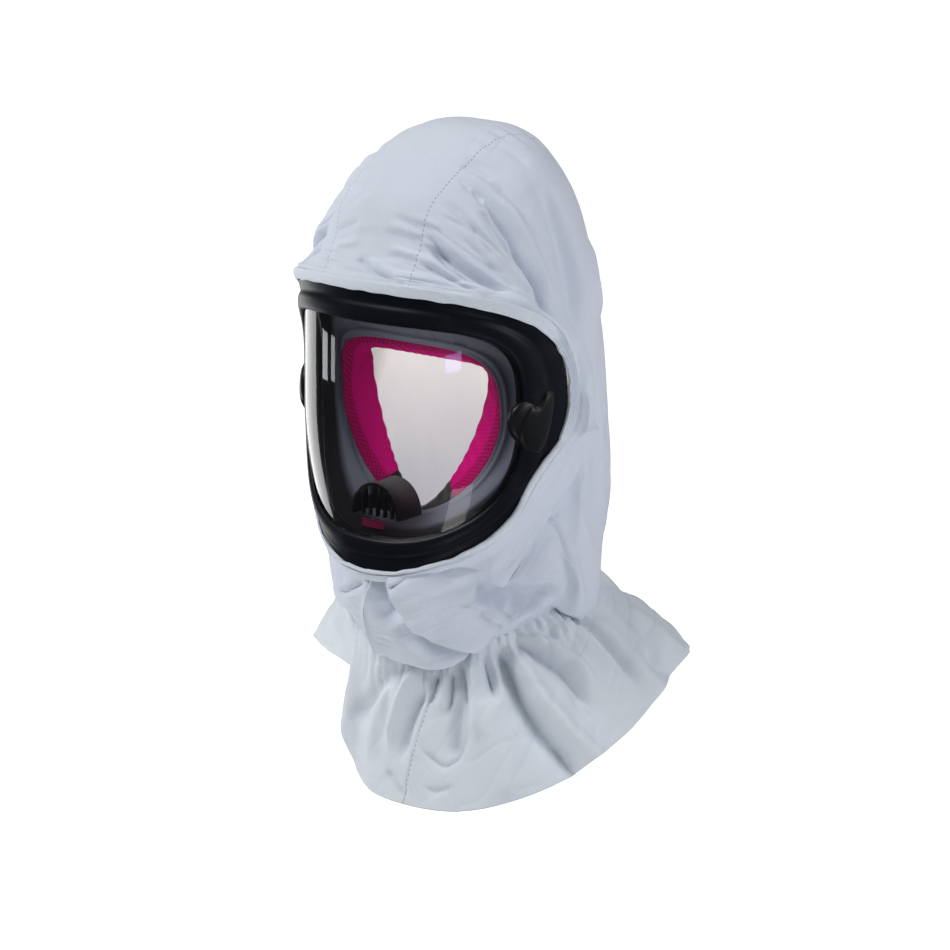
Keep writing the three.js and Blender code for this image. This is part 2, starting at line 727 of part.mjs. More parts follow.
// Harness bosses
const CLEAR_SHARE = 0.02;
const clearFrame = toSolid(
  ring(
    (s, j) => {
      const { share, lift } = FRAME_PROFILE[j];
      const wider = share > 0.5 ? share + CLEAR_SHARE : share - CLEAR_SHARE;
      const higher = lift > 1 ? lift + GAP : lift - GAP;
      return betweenLoops(FRAME_INNER, FRAME_OUTER, s, wider, higher);
    },
    48,
    FRAME_PROFILE.length,
  ),
);
for (const side of [1, -1]) {
  const pad = mound(
    side * radians(BOSS_ANGLE),
    BOSS_Z,
    (angle) => {
      const across = Math.cos(angle) > 0 ? BOSS_BACK : BOSS_FRONT;
      const up = Math.sin(angle) > 0 ? BOSS_UP : BOSS_DOWN;
      const r = roundedRadius(angle, BOSS_SQUARENESS);
      return { psi: (side * across * r * Math.cos(angle)) / BOSS_RIM_RADIUS, z: up * r * Math.sin(angle) };
    },
    (g, angle) => {
      const edge = BOSS_EDGE + BOSS_EDGE_TILT * Math.cos(angle);
      return edge + (BOSS_HEIGHT - edge) * (1 - g ** BOSS_CROWN);
    },
    () => BOSS_UNDER,
    20,
    [0.5, 0.8, 0.94, 1],
  );
  if (side > 0) {
    const index = pad.index.array;
    for (let i = 0; i < index.length; i += 3) {
      [index[i + 1], index[i + 2]] = [index[i + 2], index[i + 1]];
    }
  }
  const boss = fromSolid(toSolid(pad).subtract(clearFrame));
  add(side > 0 ? "side_boss_left" : "side_boss_right", boss, 0x1a1b1f, 0.4, 0);
}

// Exhalation valve
function arch(half, rise) {
  const shape = new THREE.Shape();
  shape.moveTo(half, 0);
  shape.absellipse(0, 0, half, rise, 0, Math.PI, false, 0);
  shape.lineTo(half, 0);
  return shape;
}
function archSolid(half, rise, fromY, length) {
  const options = { depth: length, bevelEnabled: false, curveSegments: 14 };
  const block = new THREE.ExtrudeGeometry(arch(half, rise), options);
  block.rotateX(Math.PI / 2);
  block.translate(0, fromY + length, VALVE_FLOOR_Z);
  return toSolid(block);
}
let valve = archSolid(VALVE_HALF, VALVE_RISE, VALVE_FRONT_Y, VALVE_LENGTH);
const inside = { half: VALVE_HALF - VALVE_WALL, rise: VALVE_RISE - VALVE_WALL };
const hollow = archSolid(inside.half, inside.rise, VALVE_FRONT_Y - 1, VALVE_LENGTH - VALVE_BACK_WALL);
valve = valve.subtract(hollow);
for (const x of VALVE_RIBS) {
  const height = VALVE_RISE * Math.sqrt(1 - (x / VALVE_HALF) ** 2) - VALVE_WALL / 2;
  const rib = new THREE.BoxGeometry(VALVE_RIB.width, VALVE_RIB.depth, height);
  rib.translate(x, VALVE_FRONT_Y + VALVE_RIB.set + VALVE_RIB.depth / 2, VALVE_FLOOR_Z + height / 2);
  valve = valve.add(toSolid(rib));
}
add("chin_valve", fromSolid(valve), 0x141519, 0.5, 0);

// Bare tag plate
const tag = new THREE.BoxGeometry(TAG.width, TAG.depth, TAG.height);
tag.translate(0, VALVE_FRONT_Y - TAG.ahead, VALVE_FLOOR_Z - TAG.below);
add("tag_plate", tag, 0xa01350, 0.5, 0);

export default part;
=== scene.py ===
import bpy
import numpy as np
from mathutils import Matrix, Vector


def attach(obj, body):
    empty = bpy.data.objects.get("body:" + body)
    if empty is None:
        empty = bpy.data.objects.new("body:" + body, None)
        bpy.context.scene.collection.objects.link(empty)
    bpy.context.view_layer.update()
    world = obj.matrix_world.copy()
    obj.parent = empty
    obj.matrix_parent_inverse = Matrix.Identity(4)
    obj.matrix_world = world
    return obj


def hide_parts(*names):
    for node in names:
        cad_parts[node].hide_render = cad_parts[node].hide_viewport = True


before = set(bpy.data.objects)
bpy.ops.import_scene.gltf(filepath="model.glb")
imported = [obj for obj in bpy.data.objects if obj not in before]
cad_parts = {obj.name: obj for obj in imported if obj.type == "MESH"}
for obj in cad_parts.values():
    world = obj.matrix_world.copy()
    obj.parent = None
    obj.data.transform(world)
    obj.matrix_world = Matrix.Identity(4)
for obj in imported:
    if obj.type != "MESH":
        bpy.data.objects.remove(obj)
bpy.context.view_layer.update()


# Camera
# The photograph's own view: from the front and the wearer's left, a little above, through a long lens.
VIEW_AZIMUTH = np.radians(38)
VIEW_ELEVATION = np.radians(14)
VIEW_TARGET = Vector((0, 0, -0.2225))
VIEW_DISTANCE = 3.0
VIEW_LENS = 170.4
VIEW_SHIFT = (0.0158, -0.0242)

towards_camera = Vector(
    (
        np.sin(VIEW_AZIMUTH) * np.cos(VIEW_ELEVATION),
        -np.cos(VIEW_AZIMUTH) * np.cos(VIEW_ELEVATION),
        np.sin(VIEW_ELEVATION),
    )
)
camera = bpy.data.objects.new("camera", bpy.data.cameras.new("camera"))
camera.data.lens = VIEW_LENS
camera.data.shift_x, camera.data.shift_y = VIEW_SHIFT
camera.location = VIEW_TARGET + VIEW_DISTANCE * towards_camera
camera.rotation_euler = (-towards_camera).to_track_quat("-Z", "Y").to_euler()
bpy.context.scene.collection.objects.link(camera)
bpy.context.scene.camera = camera
bpy.context.scene.view_settings.view_transform = "Standard"


# Studio
# A pale floor under the hood, a white room for light, and soft boxes that also show in the visor.
FLOOR_Z = -0.62
FLOOR_HALF = 30.0
FLOOR_GLOW = (0.3, 1.0)
ROOM_COLOUR = (0.95, 0.97, 1.0, 1)
ROOM_LIGHT = 0.13
ROOM_SEEN = 1.0
ROOM_MIRRORED_AT, ROOM_MIRRORED = (-0.1, 0.7), (0.03, 0.3)


def soft_box(name, place, aim, size, power, colour=(1, 1, 1)):
    """An area light of that width and height at a place, turned to face the aim."""
    lamp = bpy.data.lights.new(name, "AREA")
    lamp.shape = "RECTANGLE"
    lamp.size, lamp.size_y = size
    lamp.energy = power
    lamp.color = colour
    box = bpy.data.objects.new(name, lamp)
    box.location = place
    box.rotation_euler = (Vector(aim) - Vector(place)).to_track_quat("-Z", "Y").to_euler()
    box.visible_camera = False
    bpy.context.scene.collection.objects.link(box)
    return box


def set_inputs(node, values):
    """Constant inputs of a node by socket name, with _ for a space."""
    for socket, value in values.items():
        node.inputs[socket.replace("_", " ")].default_value = value


def add_node(tree, kind, **values):
    """A new node in a tree with its constant inputs."""
    node = tree.nodes.new(kind)
    set_inputs(node, values)
    return node


def map_range(tree, source, target=(0, 1)):
    """A Map Range node from one span of values to another."""
    (low, high), (least, most) = source, target
    return add_node(tree, "ShaderNodeMapRange", From_Min=low, From_Max=high, To_Min=least, To_Max=most)


def wire(tree, *joins):
    """Links in a tree: a node, its output, another node and its input."""
    for source, output, target, socket in joins:
        tree.links.new(source.outputs[output], target.inputs[socket])


def new_finish(name, colour, roughness, **constants):
    """A material with one Principled shader and its constant inputs."""
    finish = bpy.data.materials.new(name)
    finish.use_nodes = True
    shader = finish.node_tree.nodes["Principled BSDF"]
    set_inputs(shader, {"Base_Color": (*colour, 1), "Roughness": roughness, **constants})
    return finish, finish.node_tree, shader


floor_mesh = bpy.data.meshes.new("floor")
floor_corners = [(x * FLOOR_HALF, y * FLOOR_HALF, FLOOR_Z) for x, y in ((-1, -1), (1, -1), (1, 1), (-1, 1))]
floor_mesh.from_pydata(floor_corners, [], [(0, 1, 2, 3)])
floor = bpy.data.objects.new("floor", floor_mesh)
bpy.context.scene.collection.objects.link(floor)
floor.visible_glossy = False
floor.visible_transmission = False
floor_paint, floor_tree, floor_shader = new_finish(
    "floor_paint", (0.86, 0.86, 0.87), 0.9, Emission_Color=(1, 1, 1, 1)
)
floor_rays = add_node(floor_tree, "ShaderNodeLightPath")
floor_level = map_range(floor_tree, (0, 1), FLOOR_GLOW)
wire(
    floor_tree,
    (floor_rays, "Is Camera Ray", floor_level, "Value"),
    (floor_level, "Result", floor_shader, "Emission Strength"),
)
floor_mesh.materials.append(floor_paint)

room = bpy.data.worlds.new("room")
room.use_nodes = True
bpy.context.scene.world = room
room_tree = room.node_tree
room_back = room_tree.nodes["Background"]
room_back.inputs["Color"].default_value = ROOM_COLOUR
room_rays = add_node(room_tree, "ShaderNodeLightPath")
room_place = add_node(room_tree, "ShaderNodeTexCoord")
room_axes = add_node(room_tree, "ShaderNodeSeparateXYZ")
room_mirrored = map_range(room_tree, ROOM_MIRRORED_AT, ROOM_MIRRORED)
room_lit = add_node(room_tree, "ShaderNodeMix", A=ROOM_LIGHT)
room_level = add_node(room_tree, "ShaderNodeMix", B=ROOM_SEEN)
wire(
    room_tree,
    (room_place, "Generated", room_axes, "Vector"),
    (room_axes, "Y", room_mirrored, "Value"),
    (room_rays, "Glossy Depth", room_lit, "Factor"),
    (room_mirrored, "Result", room_lit, "B"),
    (room_rays, "Is Camera Ray", room_level, "Factor"),
    (room_lit, "Result", room_level, "A"),
    (room_level, "Result", room_back, "Strength"),
)

soft_box("key_box", (-0.75, -1.05, 1.38), (0, 0, -0.2), (0.7, 0.7), 21.5)
soft_box("fill_box", (1.85, 0.1, 0.5), (0, 0, -0.2), (1.0, 1.0), 10, (0.93, 0.94, 1.0))
soft_box("top_box", (0.8, 0.2, 1.35), (0, 0, -0.2), (0.8, 0.8), 5.2)
low_box = soft_box("low_box", (-1.1, -0.35, 0.0), (0, 0, -0.35), (0.5, 0.5), 2.0)
low_box.visible_glossy = False
soft_box("inside_glow", (0, -0.015, -0.15), (0, 0.1, -0.19), (0.07, 0.07), 0.135, (1.0, 0.8, 0.62))
mask_glow = soft_box("mask_glow", (0.02, -0.088, -0.2), (0, 0, -0.185), (0.07, 0.07), 0.048)
mask_glow.visible_transmission = False
mask_glow.visible_glossy = False

# Cards that only show as reflections in the visor: azimuth, elevation and distance from its middle, the
# width and height, the brightness and the colour
VISOR_MIDDLE = Vector((0.02, -0.09, -0.18))
MIRROR_CARDS = {
    "strip_card_outer": (-75.5, -9.7, 1.5, 0.18, 0.07, 5.0, (0.92, 0.95, 1)),
    "strip_card_inner": (-65.3, -9.6, 1.5, 0.11, 0.07, 5.0, (0.92, 0.95, 1)),
    "side_card": (-106.0, -14.0, 1.8, 1.0, 0.9, 2.2, (1, 1, 1)),
    "window_card": (30.0, -9.0, 1.5, 0.36, 0.03, 7.0, (0.5, 0.45, 1.0)),
    "low_card": (46.0, -38.0, 0.6, 0.19, 0.16, 2.5, (1, 1, 1)),
}
for name, (azimuth, elevation, distance, width, height, bright, colour) in MIRROR_CARDS.items():
    turn, tilt = np.radians(azimuth), np.radians(elevation)
    towards = Vector((np.sin(turn) * np.cos(tilt), -np.cos(turn) * np.cos(tilt), np.sin(tilt)))
    place = VISOR_MIDDLE + distance * towards
    card = soft_box(name, place, VISOR_MIDDLE, (width, height), bright * np.pi * width * height, colour)
    card.visible_diffuse = False
    card.visible_transmission = False


# Visor
# One clear moulded sheet, curved round the face like a rounded square and narrowing to the chin.
# Its edge sits in a slot of the rim.
LENS_HALF_WIDTH = 99.5
LENS_FRONT = 97.5
LENS_BULGE = 2.5
LENS_CHIN_BACK = 6.5
LENS_SQUARENESS = 2.25
LENS_TOP_Z, LENS_MID_Z, LENS_BOTTOM_Z = -87.5, -177.5, -288.5
LENS_TAPER_REACH = 137
LENS_TAPER_START = 5
LENS_THICKNESS = 2.0
LENS_EDGE_SHARE = 0.07
LENS_RINGS, LENS_STEPS, LENS_RING_POWER = 36, 192, 0.8
LENS_TANGENT_TURN, LENS_TANGENT_RISE = 1e-3, 1
RIM_INNER = {"half_angle": 61, "top": 61, "bottom": 83, "upper": 3.7, "lower": 2.6, "pull": 0}
RIM_OUTER = {"half_angle": 84, "top": 90, "bottom": 110, "upper": 2.7, "lower": 2.0, "pull": 0}
HEM_PULL_AT, HEM_PULL_WIDTH = 114, 17
MM = 0.001


def rounded_radius(angle, square):
    """Radius of a rounded square: (|sin|^p + |cos|^p)^(-1/p), a circle when p is 2."""
    return (np.abs(np.sin(angle)) ** square + np.abs(np.cos(angle)) ** square) ** (-1 / square)


def unit(v):
    """Each vector divided by its length."""
    return v / np.linalg.norm(v, axis=-1, keepdims=True)


def lens_base(psi, z):
    """The lens at a plan angle and height: a rounded square in plan, bulged at mid height, drawn in
    as an ellipse towards the chin."""
    drop = np.maximum(0, LENS_MID_Z - LENS_TAPER_START - z) / LENS_TAPER_REACH
    half = LENS_HALF_WIDTH * np.sqrt(1 - drop**2)
    swell = np.sin(np.pi * np.clip((LENS_TOP_Z - z) / (LENS_TOP_Z - LENS_BOTTOM_Z), 0, 1))
    front = LENS_FRONT + LENS_BULGE * swell - LENS_CHIN_BACK * drop**2
    r = rounded_radius(psi, LENS_SQUARENESS)
    return np.stack([half * r * np.sin(psi), -front * r * np.cos(psi), z + 0 * psi], -1)


def lens_point(psi, z, lift):
    """A point raised from the lens along its normal, which is the cross of the two tangents."""
    across = lens_base(psi + LENS_TANGENT_TURN, z) - lens_base(psi - LENS_TANGENT_TURN, z)
    up = lens_base(psi, z + LENS_TANGENT_RISE) - lens_base(psi, z - LENS_TANGENT_RISE)
    return lens_base(psi, z) + unit(np.cross(across, up)) * np.asarray(lift)[..., None]


def bell(x, width):
    """e^(-(x / width)^2): 1 in the middle, about a third at the width."""
    return np.exp(-((x / width) ** 2))


def signed_turn(angle):
    """An angle in degrees, from -180 to 180."""
    return np.degrees((angle + np.pi) % (2 * np.pi) - np.pi)


def loop_at(loop, s):
    """Plan angle and height on a rounded oval loop of the lens, s turning from the top; the pull draws
    it in below the ears."""
    high = np.cos(s) > 0
    pulled = 1 - loop["pull"] * bell(np.abs(signed_turn(s)) - HEM_PULL_AT, HEM_PULL_WIDTH)
    r = np.where(high, rounded_radius(s, loop["upper"]), rounded_radius(s, loop["lower"])) * pulled
    reach = np.where(high, loop["top"], loop["bottom"])
    return np.radians(loop["half_angle"]) * r * np.sin(s), LENS_MID_Z + reach * r * np.cos(s)


def between_loops(inner, outer, s, share, lift):
    """A point at a share of the way from one loop to another, raised from the lens."""
    psi_a, z_a = loop_at(inner, s)
    psi_b, z_b = loop_at(outer, s)
    return lens_point(psi_a + (psi_b - psi_a) * share, z_a + (z_b - z_a) * share, lift + 0 * s)


def grid_faces(rows, cols, wrap_rows=False, wrap_cols=False, flip=False):
    """Quads between the points of a grid, joined round where it wraps."""
    r, c = np.meshgrid(
        np.arange(rows if wrap_rows else rows - 1), np.arange(cols if wrap_cols else cols - 1), indexing="ij"
    )
    r2, c2 = (r + 1) % rows, (c + 1) % cols
    faces = np.stack([r * cols + c, r * cols + c2, r2 * cols + c2, r2 * cols + c], -1).reshape(-1, 4)
    return faces[:, ::-1] if flip else faces


def make_piece(name, points, faces, finish, stands_for=(), uv=None):
    """A smooth mesh from points in millimetres, riding on the frame's one body."""
    mesh = bpy.data.meshes.new(name)
    mesh.from_pydata((np.asarray(points).reshape(-1, 3) * MM).tolist(), [], [list(f) for f in faces])
    mesh.polygons.foreach_set("use_smooth", np.ones(len(mesh.polygons), bool))
    if uv is not None:
        corner = np.zeros(len(mesh.loops), int)
        mesh.loops.foreach_get("vertex_index", corner)
        layer = mesh.uv_layers.new(name="lay")
        layer.data.foreach_set("uv", (np.asarray(uv).reshape(-1, 2)[corner] * MM).ravel())
    mesh.materials.append(finish)
    mesh.validate()
    piece = bpy.data.objects.new(name, mesh)
    bpy.context.scene.collection.objects.link(piece)
    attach(piece, "root")
    if stands_for:
        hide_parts(*stands_for)
    return piece


visor_clear = new_finish("visor_clear", (0.98, 0.99, 1.0), 0.02, Transmission_Weight=1.0, IOR=1.46)[0]


def fan(steps, rings, flip):
    """Triangles from a middle point to the first ring and quads between rings that follow it."""
    i = np.arange(steps)
    j = (i + 1) % steps
    centre = np.stack([0 * i, 1 + j, 1 + i], -1)
    quads = grid_faces(rings, steps, wrap_cols=True) + 1
    return [f[::-1] if flip else f for f in [*centre.tolist(), *quads.tolist()]]


def dish(s, rings, lift):
    """Points of one face of the lens: the middle, then rings that grow to the loop in the slot."""
    psi_a, z_a = loop_at(RIM_INNER, s)
    psi_b, z_b = loop_at(RIM_OUTER, s)
    psi = psi_a + (psi_b - psi_a) * LENS_EDGE_SHARE
    z = z_a + (z_b - z_a) * LENS_EDGE_SHARE
    g = rings[:, None]
    ring = lens_point(g * psi, LENS_MID_Z + g * (z - LENS_MID_Z), lift)
    middle = lens_point(np.zeros(1), np.full(1, LENS_MID_Z), lift)
    return np.concatenate([middle, ring.reshape(-1, 3)])


lens_turn = np.linspace(0, 2 * np.pi, LENS_STEPS, endpoint=False)
lens_rings = np.linspace(0, 1, LENS_RINGS + 1)[1:] ** LENS_RING_POWER
lens_outer = dish(lens_turn, lens_rings, 0.0)
lens_inner = dish(lens_turn, lens_rings, -LENS_THICKNESS)
lens_faces = fan(LENS_STEPS, LENS_RINGS, False)
lens_count = len(lens_outer)
lens_faces += [[lens_count + k for k in f[::-1]] for f in lens_faces]
edge = lens_count - LENS_STEPS + np.arange(LENS_STEPS)
edge_next = lens_count - LENS_STEPS + (np.arange(LENS_STEPS) + 1) % LENS_STEPS
lens_faces += np.stack([edge, edge_next, edge_next + lens_count, edge + lens_count], -1).tolist()
lens_points = np.concatenate([lens_outer, lens_inner])
make_piece("visor_lens", lens_points, lens_faces, visor_clear, ["visor"])


# Mask rim
# A black moulded ring that clamps the visor: two soft lobes with a shallow groove between them, a
# thin lip on the visor and a rolled outer edge under the cloth.
RIM_SECTION = np.array(
    [(0.1, 0.4), (0, 0.4), (0, 1.6), (0.05, 3.2), (0.16, 4.2), (0.34, 4.1), (0.47, 2.6), (0.58, 3.2)]
    + [(0.72, 3.5), (0.87, 2.4), (1, -2.5), (0.96, -7), (0.02, -7), (0.02, -2.4), (0.1, -2.4)]
)
RIM_STEPS, RIM_FINE = 240, 5
MOULDING_GRAIN, MOULDING_MARKS, MOULDING_DEPTH = 2200.0, 26.0, 0.0002


def through(a, b, c, d, f):
    """Catmull-Rom spline from b to c, with a before and d after."""
    return (2 * b + (c - a) * f + (2 * a - 5 * b + 4 * c - d) * f**2 + (3 * b - a - 3 * c + d) * f**3) / 2


def rounded_section(section, fine):
    """A closed section carried through its points by a Catmull-Rom spline, fine steps to a side."""
    ends = (np.roll(section, k, 0)[:, None] for k in (1, 0, -1, -2))
    return through(*ends, (np.arange(fine) / fine)[None, :, None]).reshape(-1, 2)


def new_group(name, inputs, outputs):
    """A node group with a Vector input, number inputs at their defaults, and number outputs."""
    group = bpy.data.node_groups.new(name, "ShaderNodeTree")
    group.interface.new_socket("Vector", in_out="INPUT", socket_type="NodeSocketVector")
    for socket, value in inputs.items():
        given = group.interface.new_socket(socket, in_out="INPUT", socket_type="NodeSocketFloat")
        given.default_value = value
    for socket in outputs:
        group.interface.new_socket(socket, in_out="OUTPUT", socket_type="NodeSocketFloat")
    return group, group.nodes.new("NodeGroupInput"), group.nodes.new("NodeGroupOutput")


def moulding_grain_group():
    """Fine moulded grain and faint handling marks: height, roughness and a pale dust mask."""
    inputs = {"Grain": MOULDING_GRAIN, "Marks": MOULDING_MARKS, "Smooth": 0.36, "Rough": 0.52}
    group, given, result = new_group("moulding_grain", inputs, ("Height", "Roughness", "Dust"))
    grain = add_node(group, "ShaderNodeTexNoise", Detail=3)
    marks = add_node(group, "ShaderNodeTexNoise", Detail=6, Roughness=0.65)
    level = map_range(group, (0.3, 0.7))
    dust = map_range(group, (0.55, 0.85))
    wire(
        group,
        (given, "Vector", grain, "Vector"),
        (given, "Grain", grain, "Scale"),
        (given, "Vector", marks, "Vector"),
        (given, "Marks", marks, "Scale"),
        (marks, "Fac", level, "Value"),
        (given, "Smooth", level, "To Min"),
        (given, "Rough", level, "To Max"),
        (marks, "Fac", dust, "Value"),
        (grain, "Fac", result, "Height"),
        (level, "Result", result, "Roughness"),
        (dust, "Result", result, "Dust"),
    )
    return group


moulding_grain = moulding_grain_group()


def add_group(tree, group, **values):
    """A node in a tree that holds a group, placed on the object's own coordinates."""
    place = tree.nodes.new("ShaderNodeTexCoord")
    node = tree.nodes.new("ShaderNodeGroup")
    node.node_tree = group
    set_inputs(node, values)
    tree.links.new(place.outputs["Object"], node.inputs["Vector"])
    return node


def colour_mix(tree, **colours):
    """A Mix node of colours A and B; one that isn't given is linked later."""
    mix = tree.nodes.new("ShaderNodeMix")
    mix.data_type = "RGBA"
    set_inputs(mix, {socket: (*colour, 1) for socket, colour in colours.items()})
    return mix


def moulded_finish(name, colour, dusty, least_rough, rough, bump, **constants):
    """A moulded plastic or rubber: grain in the bump, marks in the roughness, dust in the colour."""
    finish, tree, shader = new_finish(name, colour, rough, **constants)
    surface = add_group(
        tree, moulding_grain, Grain=MOULDING_GRAIN, Marks=MOULDING_MARKS, Smooth=least_rough, Rough=rough
    )
    tint = colour_mix(tree, A=colour, B=dusty)
    relief = add_node(tree, "ShaderNodeBump", Strength=bump, Distance=MOULDING_DEPTH)
    wire(
        tree,
        (surface, "Roughness", shader, "Roughness"),
        (surface, "Dust", tint, "Factor"),
        (tint, "Result", shader, "Base Color"),
        (surface, "Height", relief, "Height"),
        (relief, "Normal", shader, "Normal"),
    )
    return finish


rim_black = moulded_finish(
    "rim_black", (0.005, 0.006, 0.011), (0.015, 0.017, 0.027), 0.34, 0.46, 0.04, Specular_IOR_Level=0.2
)
rim_share, rim_lift = rounded_section(RIM_SECTION, RIM_FINE).T
rim_turn = np.linspace(0, 2 * np.pi, RIM_STEPS, endpoint=False)[:, None] + 0 * rim_share
rim_points = between_loops(RIM_INNER, RIM_OUTER, rim_turn, rim_share, rim_lift)
rim_faces = grid_faces(RIM_STEPS, len(rim_share), True, True)
make_piece("rim_moulding", rim_points, rim_faces, rim_black, ["mask_frame"])


# Harness bosses
# A round button on each side of the rim with a leaf-shaped pad over it, where the head harness is held.
BOSS_ANGLE = np.radians(66)
BOSS_Z = -180.5
BOSS_RIM_RADIUS = 104
BOSS_FOOT = -1.5
BUTTON_CENTRE, BUTTON_RADIUS, BUTTON_HEIGHT = (-4.5, 1.5), 15.0, 4.8
BUTTON_CROWN, BUTTON_STEPS = 0.8, 64
LEAF_OUTLINE = np.array(
    [(-5.7, 13.3), (-0.5, 12.6), (3.4, 15.7), (6.2, 19.9), (9.3, 21.6), (12.8, 20.6), (13.9, 15.2)]
    + [(12.4, 3.5), (10.3, -5.9), (6.7, -15.2), (2.1, -21), (-3.1, -19.4), (-9.5, -15.6)]
    + [(-13.2, -11), (-14.2, -5), (-12.9, 2), (-9.8, 8.6)]
)
LEAF_HEIGHT, LEAF_CROWN, LEAF_LEAN, LEAF_FINE = 6.4, 0.6, 0.03, 5
MOUND_RINGS = np.array([0.2, 0.4, 0.6, 0.74, 0.84, 0.91, 0.96, 0.99, 1.0])


def mound(side, centre, outline, height, crown, lean):
    """Points of a low button on the lens: rings shrink from the outline to its middle, and height
    falls from the middle as (1 - g^10)^(1/2) after a gentle crown, with a lean up the pad."""
    g = MOUND_RINGS[:, None]
    a = np.concatenate([[0.0], (g * outline[:, 0]).ravel()])
    b = np.concatenate([[0.0], (g * outline[:, 1]).ravel()])
    share = np.concatenate([[0.0], (g + 0 * outline[:, 0]).ravel()])
    top = (height - crown * share**2 + lean * b) * np.sqrt(np.maximum(0, 1 - share**10))
    psi = side * (BOSS_ANGLE + (a + centre[0]) / BOSS_RIM_RADIUS)
    z = BOSS_Z + b + centre[1]
    foot = lens_point(psi[1:], z[1:], BOSS_FOOT)[-len(outline) :]
    return np.concatenate([lens_point(psi, z, top), foot])


boss_black = moulded_finish(
    "boss_black", (0.006, 0.0065, 0.009), (0.018, 0.018, 0.022), 0.3, 0.42, 0.08, Specular_IOR_Level=0.4
)
button_turn = np.linspace(0, 2 * np.pi, BUTTON_STEPS, endpoint=False)
button_outline = BUTTON_RADIUS * np.stack([np.cos(button_turn), np.sin(button_turn)], -1)
leaf_outline = rounded_section(LEAF_OUTLINE[::-1], LEAF_FINE)
# The rings of a mound, and a skirt down to its foot
mound_rows = len(MOUND_RINGS) + 1
for side, word in ((1, "left"), (-1, "right")):
    button = mound(side, BUTTON_CENTRE, button_outline, BUTTON_HEIGHT, BUTTON_CROWN, 0)
    leaf = mound(side, (0, 0), leaf_outline, LEAF_HEIGHT, LEAF_CROWN, LEAF_LEAN)
    points = np.concatenate([button, leaf])
    faces = fan(len(button_outline), mound_rows, side > 0)
    faces += [[len(button) + k for k in f] for f in fan(len(leaf_outline), mound_rows, side > 0)]
    make_piece(f"harness_boss_{word}", points, faces, boss_black, [f"side_boss_{word}"])


# Inner shroud
# A soft charcoal funnel from behind the rim to the face seal, with a bead near the seal and a comb of
# moulded air slots over the brow.
SEAL_OUTER = {
    "half": 66, "top": -138.5, "bottom": -251.5, "mid": -182.5,
    "upper": 4.2, "lower": 1.7, "top_y": -52, "side_y": -42, "bottom_y": -50,
}
SHROUD_SHARE, SHROUD_LIFT = 0.14, -8.4
SHROUD_SAG = 7
SHROUD_WALL = 1.6
SHROUD_DARK, SHROUD_DARK_COLOUR = (0.26, 0.42), (0.005, 0.005, 0.008)
SHROUD_STEPS, SHROUD_ROWS = 320, 26
SHROUD_BEAD_AT, SHROUD_BEAD_WIDTH, SHROUD_BEAD = 0.84, 0.05, 1.2
COMB_HALF_ANGLE, COMB_PITCH, COMB_DEPTH = 34, 2.6, 1.6
COMB_FROM, COMB_TO, COMB_EASE, COMB_EASE_ANGLE = 0.5, 0.8, 0.06, 3


def smooth(f):
    """0 below 0, 1 above 1, and 3f^2 - 2f^3 between."""
    g = np.clip(f, 0, 1)
    return g * g * (3 - 2 * g)


def band(x, low, rise, high, fall):
    """1 in a band, easing to 0 at its low and high ends over the rise and the fall."""
    return smooth((x - low) / rise) * smooth((high - x) / fall)


def face_loop(loop, s):
    """An upright rounded oval round the face, s turning from the top, its depth blended by height."""
    r = np.where(np.cos(s) > 0, rounded_radius(s, loop["upper"]), rounded_radius(s, loop["lower"]))
    c = r * np.cos(s)
    end_y = np.where(c > 0, loop["top_y"], loop["bottom_y"])
    reach = np.where(c > 0, loop["top"] - loop["mid"], loop["mid"] - loop["bottom"])
    y = loop["side_y"] + (end_y - loop["side_y"]) * c * c
    return np.stack([loop["half"] * r * np.sin(s), y, loop["mid"] + reach * c], -1)


def shroud_point(s, f):
    """From the rim at f 0 to the seal at f 1, sagging back between, with the bead and the comb."""
    start = between_loops(RIM_INNER, RIM_OUTER, s, SHROUD_SHARE, SHROUD_LIFT)
    end = face_loop(SEAL_OUTER, s)
    p = start + (end - start) * f[..., None]
    turn = signed_turn(s)
    brow = smooth((COMB_HALF_ANGLE - np.abs(turn)) / COMB_EASE_ANGLE)
    comb = brow * band(f, COMB_FROM, COMB_EASE, COMB_TO, COMB_EASE)
    teeth = 0.5 + 0.5 * np.sign(np.sin(2 * np.pi * turn / COMB_PITCH))
    bead = SHROUD_BEAD * bell(f - SHROUD_BEAD_AT, SHROUD_BEAD_WIDTH)
    p[..., 1] += SHROUD_SAG * 4 * f * (1 - f) - bead + COMB_DEPTH * comb * teeth
    return p


def own_lay(tree):
    """The piece's own UV, and its two axes."""
    lay = tree.nodes.new("ShaderNodeUVMap")
    lay.uv_map = "lay"
    axes = tree.nodes.new("ShaderNodeSeparateXYZ")
    tree.links.new(lay.outputs["UV"], axes.inputs["Vector"])
    return lay, axes


def give_wall(piece, thickness):
    """A wall of that thickness in millimetres on the inner side of a sheet."""
    wall = piece.modifiers.new("wall", "SOLIDIFY")
    wall.thickness = thickness * MM
    wall.offset = -1.0


